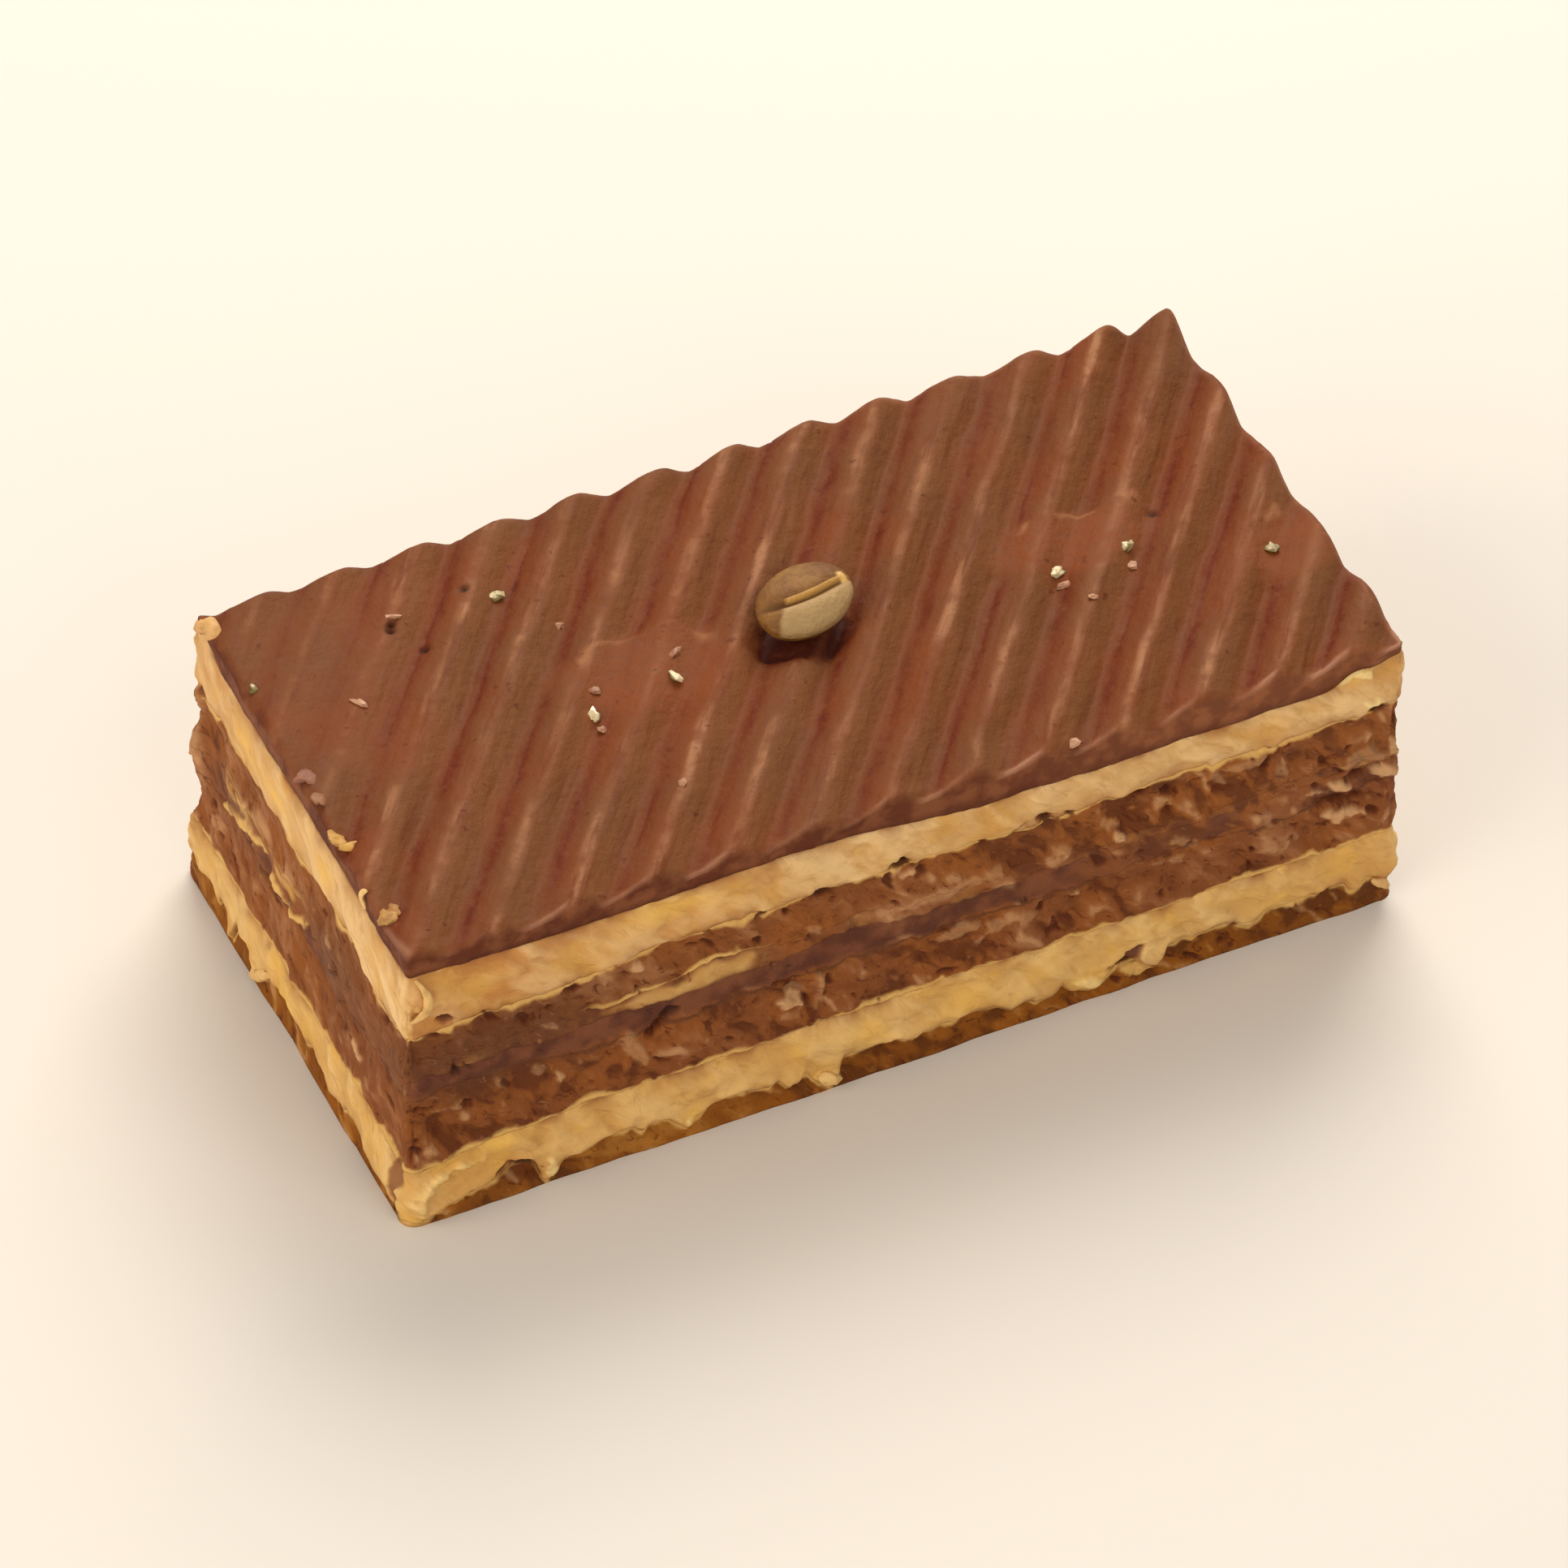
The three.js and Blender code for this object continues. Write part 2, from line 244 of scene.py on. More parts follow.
# height of a layer's upper face: mean, tilt, slow and short lumps, sags, then fine fray, and for the base the
# ragged tongues; -1 is the flat underside
def topHeight(index, x, y):
    if index < 0:
        return np.zeros(np.broadcast(x, y).shape)
    layer = layers[index]
    seed = 100.0 * (index + 1)
    height = layer["top"] + layer["tilt"] * x / cut["length"]
    height = height + layer["swell"] * lumps(x, y, seed, cut["swellSize"])
    height = height + layer["ragged"] * lumps(x, y, seed, cut["ragSize"])
    for sx, sy, depth, reach in sags.get(layer["node"], []):
        height = height - depth * hump(np.hypot(x - sx, y - sy), reach)
    torn = np.abs(lumps(x, y, seed + 70, cut["tornSize"])) - 0.3
    height = height + layer["fray"] * (crumble(x, y, seed + 50, cut["fraySize"], 4) + torn)
    if index == 0:
        strayX = x + cut["tongueRag"] * lumps(x, y, 30.0, cut["tongueRagSize"])
        strayY = y + cut["tongueRag"] * lumps(x, y, 60.0, cut["tongueRagSize"])
        for sx, sy, depth, half in tongues:
            gone = np.hypot(strayX - sx, strayY - sy) / half
            height = height - depth * np.clip(1 - gone ** 1.4, 0, 1)
    return np.maximum(height, cut["lowest"])


# the part of an outward direction, and its sign, that faces each side
sideFacing = {"front": (1, -1), "back": (1, 1), "left": (0, -1), "right": (0, 1)}


# how squarely outward directions face a side, 0 to 1
def facing(normals, side):
    part, sign = sideFacing[side]
    return np.clip(sign * normals[:, part], 0, 1)


# points round the cut and their outward directions: four corner arcs joined by straight runs
def cutOutline(step):
    halfX, halfY = cut["length"] / 2 - cut["corner"], cut["width"] / 2 - cut["corner"]
    middles = np.array([(halfX, -halfY), (halfX, halfY), (-halfX, halfY), (-halfX, -halfY)])
    places, angles = [], []
    for k in range(4):
        here, after = middles[k], middles[(k + 1) % 4]
        turn = np.linspace(k - 1, k, int(cut["corner"] * math.pi / 2 / step) + 2) * math.pi / 2
        count = int(np.linalg.norm(after - here) / step)
        run = np.linspace(0, 1, count + 1)[1:-1, None]
        places += [np.repeat(here[None], len(turn), 0), here + (after - here) * run]
        angles += [turn, np.full(count - 1, k * math.pi / 2)]
    angles = np.concatenate(angles)
    normals = np.stack([np.cos(angles), np.sin(angles)], 1)
    return np.concatenate(places) + cut["corner"] * normals, normals


# how far the coarse cut side stands out: spread at the base, knife wander, torn lumps, and the layer's bulge
def coarseOut(x, y, z, normals, middle, layer):
    skew = 1.15 - cut["frontSkew"] * x / 50 * facing(normals, "front")
    skew = skew + cut["rightSpread"] * facing(normals, "right")
    spread = cut["baseSpread"] * skew * np.clip(1 - z / cut["glazeLine"], 0, 1) ** 2
    stray = cut["stray"] * lumps(x, y, z, cut["strayReach"])
    crag = (cut["seamCrag"] + (layer["crag"] - cut["seamCrag"]) * middle) * lumps(x, y, z, cut["cragSize"])
    return spread + stray + crag + layer["bulge"] * middle


# place on a side with its height turned into a sideways shift and then strayed by lumps, so that what is
# drawn there leans and curls
def leaning(x, y, z, normals, look):
    curlX, curlY = [look["curl"] * lumps(x + start, y, z, look["curlSize"]) for start in (0, 40)]
    shift = look["lean"] * z
    return x - shift * normals[:, 1] + curlX, y + shift * normals[:, 0] + curlY


# Mesh helpers

# quads of a grid with rows of points, each row closed on itself
def ringQuads(rows, count):
    lower = (np.arange(rows - 1)[:, None] * count + np.arange(count)).ravel()
    after = (np.arange(rows - 1)[:, None] * count + np.roll(np.arange(count), -1)).ravel()
    return np.stack([lower, after, after + count, lower + count], 1)


# triangles from one row of points to a single pole; upward when the pole closes the top
def poleFan(first, count, pole, upward):
    here = first + np.arange(count)
    after = first + np.roll(np.arange(count), -1)
    fan = [here, after, np.full(count, pole)] if upward else [after, here, np.full(count, pole)]
    return np.stack(fan, 1)


# faces of rows of closed rings whose two ends run to the two points after them
def closedRings(rows, count):
    last = rows * count
    fans = [poleFan(0, count, last, False), poleFan(last - count, count, last + 1, True)]
    return [ringQuads(rows, count)] + fans


# the same for copies of such a body, one after another
def manyRings(copies, rows, count):
    starts = np.arange(copies)[:, None, None] * (rows * count + 2)
    return [(part[None] + starts).reshape(-1, part.shape[1]) for part in closedRings(rows, count)]


# a unit ball as rows of rings from its bottom pole to its top, the two poles last
def unitBall(rounds, rings):
    turn = np.linspace(0, 2 * math.pi, rounds, endpoint=False)[None]
    rise = np.linspace(-math.pi / 2, math.pi / 2, rings + 2)[1:-1, None]
    ball = np.stack([np.cos(turn) * np.cos(rise), np.sin(turn) * np.cos(rise), np.sin(rise) + 0 * turn], -1)
    return np.concatenate([ball.reshape(-1, 3), [[0, 0, -1.0], [0, 0, 1.0]]])


# a piece from arrays: points in mm, lists of face arrays, point attributes, then its frame calls
def makePiece(name, points, faces, finish, marks=None, node=None, smooth=True):
    mesh = bpy.data.meshes.new(name)
    corners = np.concatenate([part.ravel() for part in faces])
    sizes = np.concatenate([np.full(len(part), part.shape[1]) for part in faces])
    mesh.vertices.add(len(points))
    mesh.vertices.foreach_set("co", (points * mm).astype(np.float32).ravel())
    mesh.loops.add(len(corners))
    mesh.loops.foreach_set("vertex_index", corners.astype(np.int32))
    mesh.polygons.add(len(sizes))
    mesh.polygons.foreach_set("loop_start", (np.cumsum(sizes) - sizes).astype(np.int32))
    mesh.polygons.foreach_set("use_smooth", np.full(len(sizes), smooth))
    mesh.update(calc_edges=True)
    for mark, values in (marks or {}).items():
        layer = mesh.attributes.new(mark, "FLOAT", "POINT")
        layer.data.foreach_set("value", values.astype(np.float32).ravel())
    mesh.materials.append(finish)
    piece = addObject(name, mesh)
    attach(piece, "root")
    if node:
        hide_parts(node)
    print("made", name, "with", len(points), "points")


# Shader helpers

# display values 0 to 255 to the linear colour that a shader wants
def tint(red, green, blue):
    parts = [v / 255 for v in (red, green, blue)]
    return tuple(v / 12.92 if v < 0.04045 else ((v + 0.055) / 1.055) ** 2.4 for v in parts) + (1.0,)


# one socket of a shader tree; arithmetic on it adds Math nodes
class Wire:
    def __init__(self, tree, socket=None):
        self.tree = tree
        self.socket = socket

    # any node: its type, its settings, then the values or wires of its sockets; gives one output
    def node(self, kind, settings=None, sockets=None, output=0):
        made = self.tree.nodes.new(kind)
        for name, value in (settings or {}).items():
            setattr(made, name, value)
        for name, value in (sockets or {}).items():
            if isinstance(value, Wire):
                self.tree.links.new(value.socket, made.inputs[name])
            else:
                made.inputs[name].default_value = value
        return Wire(self.tree, made.outputs[output])

    def math(self, operation, *values):
        return self.node("ShaderNodeMath", {"operation": operation}, dict(enumerate(values)))

    def __add__(self, other):
        return self.math("ADD", self, other)

    def __sub__(self, other):
        return self.math("SUBTRACT", self, other)

    def __rsub__(self, other):
        return self.math("SUBTRACT", other, self)

    def __mul__(self, other):
        return self.math("MULTIPLY", self, other)

    __radd__, __rmul__ = __add__, __mul__

    # value eased from 0 at low to 1 at high
    def ease(self, low, high):
        settings = {"interpolation_type": "SMOOTHSTEP"}
        return self.node("ShaderNodeMapRange", settings, {"Value": self, "From Min": low, "From Max": high})

    # colour between two colours, each a wire or a colour's display values
    def mix(self, share, low, high):
        low, high = [end if isinstance(end, Wire) else tint(*end) for end in (low, high)]
        settings = {"data_type": "RGBA", "blend_type": "MIX", "clamp_factor": True}
        return self.node("ShaderNodeMix", settings, {0: share, 6: low, 7: high}, 2)

    # a colour painted over in steps, each a share and a colour
    def paint(self, colour, *steps):
        for share, shade in steps:
            colour = self.mix(share, colour, shade)
        return colour

    # a mark that the mesh carries on its points
    def mark(self, name):
        return self.node("ShaderNodeAttribute", {"attribute_name": name}, None, "Fac")

    # object coordinates turned about Z, then divided by the stretch along each axis
    def place(self, stretch=(1.0, 1.0, 1.0), turn=0.0):
        own = self.node("ShaderNodeTexCoord", None, None, "Object")
        sockets = {"Vector": own, "Scale": stretch, "Rotation": (0.0, 0.0, math.radians(turn))}
        return self.node("ShaderNodeMapping", {"vector_type": "TEXTURE"}, sockets)

    # coordinates sheared so that what is drawn in them leans like the torn marks, and is stretched along them
    def leaning(self, place, slope, stretch):
        z = self.node("ShaderNodeSeparateXYZ", None, {"Vector": place}, "Z")
        shift = self.node("ShaderNodeCombineXYZ", None, {"X": z * slope, "Y": z * -slope, "Z": z * -stretch})
        return self.node("ShaderNodeVectorMath", {"operation": "ADD"}, {0: place, 1: shift})

    # cloudy value from 0 to 1 with patches of the given size in mm, curled by the distortion
    def cloud(self, place, size, detail=3.0, rough=0.55, curl=0.0):
        sockets = {"Vector": place, "Scale": 1 / (size * mm), "Detail": detail, "Roughness": rough}
        return self.node("ShaderNodeTexNoise", None, {**sockets, "Distortion": curl})

    def bump(self, depth):
        return self.node("ShaderNodeBump", None, {"Height": self, "Distance": depth * mm})


# a new finish: its tree's start and a function that closes it with one shader
def startFinish(name):
    finish = bpy.data.materials.new(name)
    finish.use_nodes = True
    tree = finish.node_tree
    tree.nodes.clear()
    start = Wire(tree)

    def close(**sockets):
        named = {key.replace("_", " "): value for key, value in sockets.items()}
        shader = start.node("ShaderNodeBsdfPrincipled", None, named)
        output = tree.nodes.new("ShaderNodeOutputMaterial")
        tree.links.new(shader.socket, output.inputs["Surface"])
        return finish

    return start, close


# share of its fine relief that a side keeps this far from an edge where cream and sponge lie flush
def edgeShare(away):
    return 0.12 + 0.88 * ease(away, 0.0, 0.7)


# Torn bits of the cut sides

# what a kind of bit shows as, and how strongly; holes, dusk and gaps show as shaded holes, painted dark as
# shade
bitKinds = {"hole": ("hole", 0.9), "pale": ("pale", 0.85), "tan": ("pale", 0.32), "cream": ("creamy", 1.0),
            "dusk": ("hole", 0.42), "ridge": ("creamy", 0.5), "gap": ("hole", 0.62)}

# bits placed by side and kind: half width, lift (a hollow's is below zero), then the path, which is
# places along the side and heights in turn
bits = {
    ("front", "hole"): [
        (0.55, -0.9, -46.7, 25.0, -45.8, 24.7), (0.35, -0.6, -42.8, 24.2, -42.0, 23.8),
        (0.5, -0.8, -34.5, 23.6, -33.2, 23.0), (0.3, -0.6, -39.7, 21.9, -39.2, 21.4),
        (0.5, -0.8, -15.6, 25.3, -14.5, 25.6), (0.3, -0.7, -12.9, 25.1, -12.7, 24.2),
        (0.65, -1.0, -10.4, 25.3, -9.2, 25.6, -8.0, 25.4), (0.7, -1.0, -1.7, 25.9, -0.4, 25.6),
        (0.3, -0.5, -15.3, 22.4, -15.0, 21.6), (0.22, -0.5, -20.7, 24.0, -19.8, 22.8),
        (0.3, -0.7, 9.9, 24.8, 11.4, 25.8, 14.2, 25.9, 16.2, 25.2), (0.35, -0.6, 7.1, 25.5, 7.5, 24.9),
        (0.35, -0.7, 22.2, 24.6, 24.0, 25.0), (0.45, -0.7, 25.6, 24.1, 26.4, 23.7),
        (0.35, -0.7, 36.0, 23.4, 36.6, 24.2, 38.6, 24.8), (0.55, -0.8, 47.1, 26.5, 48.3, 25.8),
        (0.35, -0.5, 44.6, 22.3, 45.1, 22.0),
        (0.55, -1.1, -25.9, 14.3, -25.2, 15.6, -24.3, 16.6, -23.5, 16.4),
        (0.35, -0.9, -13.5, 15.7, -11.6, 14.9, -9.9, 14.4), (0.3, -0.6, -10.3, 12.9, -10.0, 11.4),
        (0.2, -0.4, -8.5, 14.6, -8.4, 11.0), (0.5, -0.8, -44.4, 13.4, -43.5, 12.8),
        (0.22, -0.5, -40.8, 14.8, -39.7, 12.8), (0.4, -0.6, -49.8, 9.3, -49.2, 9.0),
        (0.4, -0.5, -47.4, 10.6, -47.0, 9.9), (0.3, -0.5, 3.0, 10.1, 5.4, 9.8),
        (0.3, -0.5, 13.4, 14.9, 13.9, 14.3), (0.55, -1.3, 44.6, 18.2, 46.2, 17.9, 48.1, 18.6),
        (0.45, -0.8, 41.8, 16.3, 44.5, 15.4, 46.7, 14.5),
        (0.4, -0.5, -42.0, 3.0, -40.6, 4.2, -38.6, 3.7, -37.2, 2.4),
        (0.75, -0.9, 20.8, 3.6, 22.6, 4.3, 24.2, 5.1),
    ],
    ("front", "tan"): [
        (1.0, -0.7, -12.3, 14.0, -10.3, 13.0), (0.45, 0.5, -9.2, 15.0, -9.0, 12.8, -9.3, 10.4),
        (0.4, 0.25, -30.9, 24.7, -30.5, 22.0), (0.7, 0.3, -28.5, 15.5, -27.9, 13.4, -26.8, 11.3),
        (0.4, 0.25, -37.4, 14.7, -36.6, 13.3), (0.35, 0.2, -33.4, 14.7, -33.1, 13.4),
        (0.35, 0.2, -41.3, 15.0, -40.2, 13.3), (0.35, 0.3, -47.7, 13.4, -45.4, 12.9, -44.9, 13.8),
        (0.8, 0.3, 3.6, 13.9, 5.0, 14.5, 6.6, 14.7),
        (0.7, 0.3, 7.0, 12.6, 8.4, 14.1, 10.6, 14.3, 12.4, 13.1), (0.35, 0.2, 15.0, 21.9, 16.0, 20.1),
        (0.5, 0.3, 30.6, 24.7, 32.0, 22.5), (0.7, 0.25, 32.4, 24.3, 36.0, 24.9),
        (0.45, 0.3, 25.0, 15.4, 28.6, 14.2), (0.5, 0.2, 27.0, 17.5, 29.4, 16.4),
        (0.6, 0.2, 36.6, 13.8, 37.8, 12.4), (0.9, 0.4, 44.2, 19.8, 46.6, 20.6, 49.2, 19.6),
        (0.5, 0.4, 46.9, 21.5, 48.9, 19.8), (0.4, 0.3, 37.4, 23.3, 38.6, 21.0),
        (0.6, 0.05, -3.0, 20.3, 4.0, 20.2, 9.0, 20.6), (0.35, 0.1, -10.2, 21.6, -9.0, 20.2),
    ],
    # dusk: painted shade beside the cracks at the front's lower left
    ("front", "dusk"): [
        (1.3, -0.3, -41.2, 2.6, -40.0, 3.0, -37.8, 1.4), (0.3, -0.5, -48.2, 1.0, -46.0, 2.0, -43.0, 2.8),
    ],
    # pale: pale crumbs; the two narrow ones at the right corner, near x 49.5, are painted highlights of torn
    # edges
    ("front", "pale"): [
        (0.5, 0.35, -35.3, 13.0, -34.9, 11.8), (1.0, 0.6, -12.9, 13.0, -11.9, 12.5, -10.9, 11.8),
        (0.4, 0.3, -28.0, 24.0, -27.2, 23.3), (0.5, 0.4, -1.4, 24.1, 0.4, 24.3),
        (0.35, 0.2, 21.2, 20.3, 22.2, 19.9), (0.4, 0.3, 10.6, 17.2, 11.4, 16.2),
        (0.4, 0.25, 17.2, 14.9, 17.6, 13.6), (0.5, 0.3, 40.8, 17.8, 43.2, 16.9),
        (0.85, 0.5, 43.2, 18.2, 45.2, 16.6), (1.05, 0.6, 47.4, 18.4, 48.8, 17.6, 50.0, 16.6),
        (0.75, 0.4, 42.8, 14.2, 47.2, 12.7), (0.35, 0.2, 49.4, 21.6, 49.6, 19.2),
        (0.3, 0.2, 49.4, 14.4, 49.6, 11.6), (0.5, 0.4, -40.7, 2.9, -39.7, 1.6),
        (0.5, 0.5, 46.1, 4.3, 47.4, 3.4), (0.3, 0.3, 39.6, 3.9, 40.4, 3.4),
    ],
    ("front", "cream"): [
        (0.3, 0.3, 46.3, 27.7, 48.0, 27.0), (0.7, 0.4, 17.2, 3.4, 20.4, 1.9),
        (0.6, 0.3, 22.4, 2.7, 25.8, 1.2), (0.8, 0.5, -9.3, 2.6, -8.0, 1.5, -7.0, 0.6),
        (0.55, 0.3, -36.3, 3.2, -36.0, 0.6), (0.6, 0.35, -22.9, 2.9, -22.2, 1.3),
        (0.7, 0.5, 43.2, 31.5, 44.8, 31.9, 46.4, 31.2),
    ],
    ("front", "ridge"): [
        (0.35, 0.7, -49.4, 1.0, -49.3, 3.8, -47.8, 5.2, -45.2, 6.0, -42.8, 5.8),
    ],
    ("left", "gap"): [
        (1.0, -0.6, -23.0, 0.4, -22.7, 3.0, -22.9, 6.6),
    ],
    ("left", "cream"): [
        (0.75, 0.35, 17.2, 15.3, 12.5, 16.9, 8.0, 17.7),
        (0.6, 0.35, 6.0, 16.2, 3.5, 15.7, 0.5, 16.4, -1.6, 17.2),
    ],
    ("left", "pale"): [
        (0.6, 0.2, 14.2, 18.4, 12.4, 19.5), (0.5, 0.25, -12.2, 12.7, -13.3, 11.1),
        (0.6, 0.6, 23.4, 8.2, 23.5, 7.3),
    ],
    ("left", "tan"): [
        (1.1, 0.1, 4.0, 18.4, 1.6, 20.2), (0.4, 0.2, -9.4, 10.3, -10.2, 9.6),
        (0.35, 0.2, -14.6, 9.8, -16.0, 9.3), (0.9, 0.1, 19.5, 11.3, 17.2, 12.6),
        (0.9, 0.7, 22.8, 24.8, 23.2, 22.8), (0.7, 0.5, 23.0, 19.5, 23.4, 17.0),
    ],
    ("left", "hole"): [
        (0.4, -0.6, 16.2, 18.9, 15.2, 18.3), (0.4, -0.5, 4.8, 19.9, 4.2, 19.6),
        (0.3, -0.5, 17.0, 11.5, 16.2, 10.8), (0.35, -0.5, -9.6, 23.1, -10.0, 22.7),
        (0.45, -0.6, 6.6, 14.3, 4.6, 14.2), (0.35, -0.5, 11.3, 23.8, 10.9, 23.4),
        (0.3, -0.6, -18.4, 20.8, -19.6, 22.0), (0.3, -0.5, -5.6, 22.4, -6.0, 21.9),
        (0.4, -0.6, 23.0, 25.4, 22.0, 25.0),
    ],
}

# bits drawn for the two sides that the camera does not see
hiddenBits = {
    "count": 90, "seed": 5,
    "heights": [25.0, 23.2, 21.6, 15.0, 13.0, 11.0],
    "kinds": ["hole", "hole", "tan", "tan", "pale"],
}


def drawnBits():
    draw = np.random.default_rng(hiddenBits["seed"])
    drawn = []
    for _ in range(hiddenBits["count"]):
        side, reach = [("back", 48.0), ("right", 22.0)][int(draw.integers(0, 3)) // 2]
        kind = str(draw.choice(hiddenBits["kinds"]))
        along = draw.uniform(-reach, reach)
        height = draw.choice(hiddenBits["heights"]) + draw.uniform(-0.8, 0.8)
        lift = -draw.uniform(0.5, 1.0) if kind == "hole" else draw.uniform(0.2, 0.45)
        turn, long = draw.uniform(-1.2, 1.2), draw.uniform(0.5, 2.4)
        after = (along + long * math.cos(turn), height + long * math.sin(turn))
        drawn.append((side, kind, draw.uniform(0.25, 0.65), lift, [(along, height), after]))
    return drawn


# all bits as side, kind, half width, lift and path
allBits = drawnBits()
for (side, kind), group in bits.items():
    allBits += [(side, kind, *bit[:2], np.reshape(bit[2:], (-1, 2))) for bit in group]


# outline of a bit: how ragged, how far past its path it is looked for, and the share of its lift that is used
bitEdge = {"rag": 0.55, "ragSize": 1.2, "margin": 2.0, "lift": 0.8}


# distance of places on a side from a path there, and how far along the path is nearest, 0 to 1
def pathGap(a, h, path):
    away, spot = np.full(h.shape, 9.0), np.zeros(h.shape)
    for k, ((a0, h0), (a1, h1)) in enumerate(zip(path[:-1], path[1:])):
        da, dh = a1 - a0, h1 - h0
        t = np.clip(((a - a0) * da + (h - h0) * dh) / (da * da + dh * dh), 0, 1)
        gone = np.hypot(a - a0 - t * da, h - h0 - t * dh)
        spot = np.where(gone < away, (k + t) / (len(path) - 1), spot)
        away = np.minimum(away, gone)
    return away, spot


# what the bits do at each point of the sides: how far they lift it and how strongly each kind shows; a bit is
# the ground within its ragged half width of its path, which narrows to its ends
def sideBits(x, y, z, normals):
    lift = np.zeros(z.shape)
    shows = {name: np.zeros(z.shape) for name in ("hole", "pale", "creamy")}
    for side, kind, width, rise, path in allBits:
        path = np.array(path)
        along = y if side in ("left", "right") else x
        square = ease(facing(normals, side), 0.45, 0.9)
        (least, low), (most, high) = path.min(0) - bitEdge["margin"], path.max(0) + bitEdge["margin"]
        near = (along > least) & (along < most) & (square > 0)
        if not near.any() or low > z.max() or high < z.min():
            continue
        a, h = along[near][None], z[:, near]
        away, spot = pathGap(a, h, path)
        full = 0.4 + 0.7 * fullness(spot)
        torn = bitEdge["rag"] * crumble(a + 0.5 * h, 0.7 * h, 500.0, bitEdge["ragSize"])
        ragged = width * full + torn - away
        lift[:, near] += bitEdge["lift"] * rise * square[near] * ease(ragged, -0.25, 0.5)
        mark, strength = bitKinds[kind]
        drawn = strength * square[near] * ease(ragged, -0.15, 0.4)
        shows[mark][:, near] = np.maximum(shows[mark][:, near], drawn)
    return lift, shows


# Sponge

sponge = {
    "lump": 0.42, "lumpSize": 4.5,  # soft torn lumps
    "sliver": 0.2, "sliverSize": 1.7,  # leaning slivers
    "pore": 0.45, "poreSize": 1.5,
    "grain": 0.06,
    "lean": 0.6, "curl": 1.1, "curlSize": 2.6,  # how much the torn marks lean and curl
    "smear": 0.75,  # how far cream or ganache is smeared over an edge
}

# lighter and darker places of the front's sponge: how much lighter, x, z, reach along and upwards
toneSpots = [
    (0.3, -38, 22.5, 4, 2.5), (0.5, -30, 23.5, 6, 3), (0.3, -20, 23.5, 6, 3), (0.2, -5, 22.8, 6, 3),
    (-0.35, 21, 21.5, 8, 4), (-0.25, 34, 21, 7, 4), (-0.15, 45, 23.5, 5, 3), (0.25, 30, 13, 7, 3),
    (-0.55, 43, 2.5, 7, 2), (0.5, -28, 1.6, 9, 2), (-0.3, -39.5, 2.4, 2.5, 1.6), (0.35, 3, 20.4, 7, 1.2),
]

# dark places of the sponge on the front and the left end: place along the side, z, reach along and upwards
darkSpots = {"front": (-42, 19, 9, 4.5), "left": (-8, 18, 7, 5)}

# tints, and what is smeared over the lower and the upper edge
spongeLooks = {
    "base_sponge": {
        "dark": (90, 43, 2), "mid": (133, 74, 10), "warm": (147, 84, 12), "pale": (178, 118, 44),
        "low": None, "high": "creamy"},
    "lower_sponge": {
        "dark": (90, 40, 9), "mid": (131, 73, 33), "warm": (143, 80, 30), "pale": (168, 112, 70),
        "low": "creamy", "high": "dark"},
    "upper_sponge": {
        "dark": (92, 43, 11), "mid": (133, 75, 33), "warm": (145, 82, 31), "pale": (170, 115, 72),
        "low": "creamy", "high": "creamy"},
}


# colour of sponge: mid to warm in broad patches, dark to pale with its tone and its fine leaning flecks, then
# its dark, pale, creamy and shaded spots; tone and flecks paint light and shade on the relief, pale spots are
# partly painted highlights, and holes are painted dark as shade
def crumbColour(start, place, looks):
    slant = start.leaning(place, sponge["lean"], 0.35)
    broad = start.cloud(place, 9.0, 3.0)
    fine = start.cloud(slant, 1.1, 4.0, 0.62, 0.8)
    grit = start.cloud(slant, 0.4, 3.0)
    hole = start.mark("hole")
    share = start.mark("tone") * 0.9 + fine * 0.5 + grit * 0.15
    colour = start.mix(broad.ease(0.42, 0.62), looks["mid"], looks["warm"])
    colour = start.paint(
        colour,
        # tone: painted shade in hollows and painted light on raised lumps, with its random tone
        (share.ease(0.8, 0.45) * 0.8, looks["dark"]),
        (share.ease(0.85, 1.35) * 0.65, looks["pale"]),
        (start.mark("dark") * (0.5 + grit * 0.6), (98, 55, 28)),
        # fine flecks: painted highlights where the bump stands up, painted shade where it sinks
        (fine.ease(0.61, 0.72) * 0.45, looks["pale"]),
        (fine.ease(0.42, 0.31) * 0.75, (80, 30, 4)),
        # pale spots: pale crumbs, and painted highlights on slivers and torn edges
        (start.mark("pale") * (0.6 + grit * 0.6), (216, 168, 118)),
        (start.mark("creamy") * (0.7 + grit * 0.4), (222, 176, 100)),
        # holes: painted dark as shade
        (hole.ease(0.0, 0.6) * 0.75, (104, 45, 11)),
        (hole.ease(0.4, 1.1) * 0.9, (64, 23, 3)),
    )
    return colour, fine, grit


def spongeFinish(node):
    start, close = startFinish(node + "Crumb")
    colour, fine, grit = crumbColour(start, start.place(), spongeLooks[node])
    relief = (fine * 0.7 + grit * 0.3).bump(0.35)
    roughness = 0.75 - fine.ease(0.45, 0.75) * 0.25
    return close(Base_Color=colour, Roughness=roughness, Normal=relief, Specular_IOR_Level=0.2)


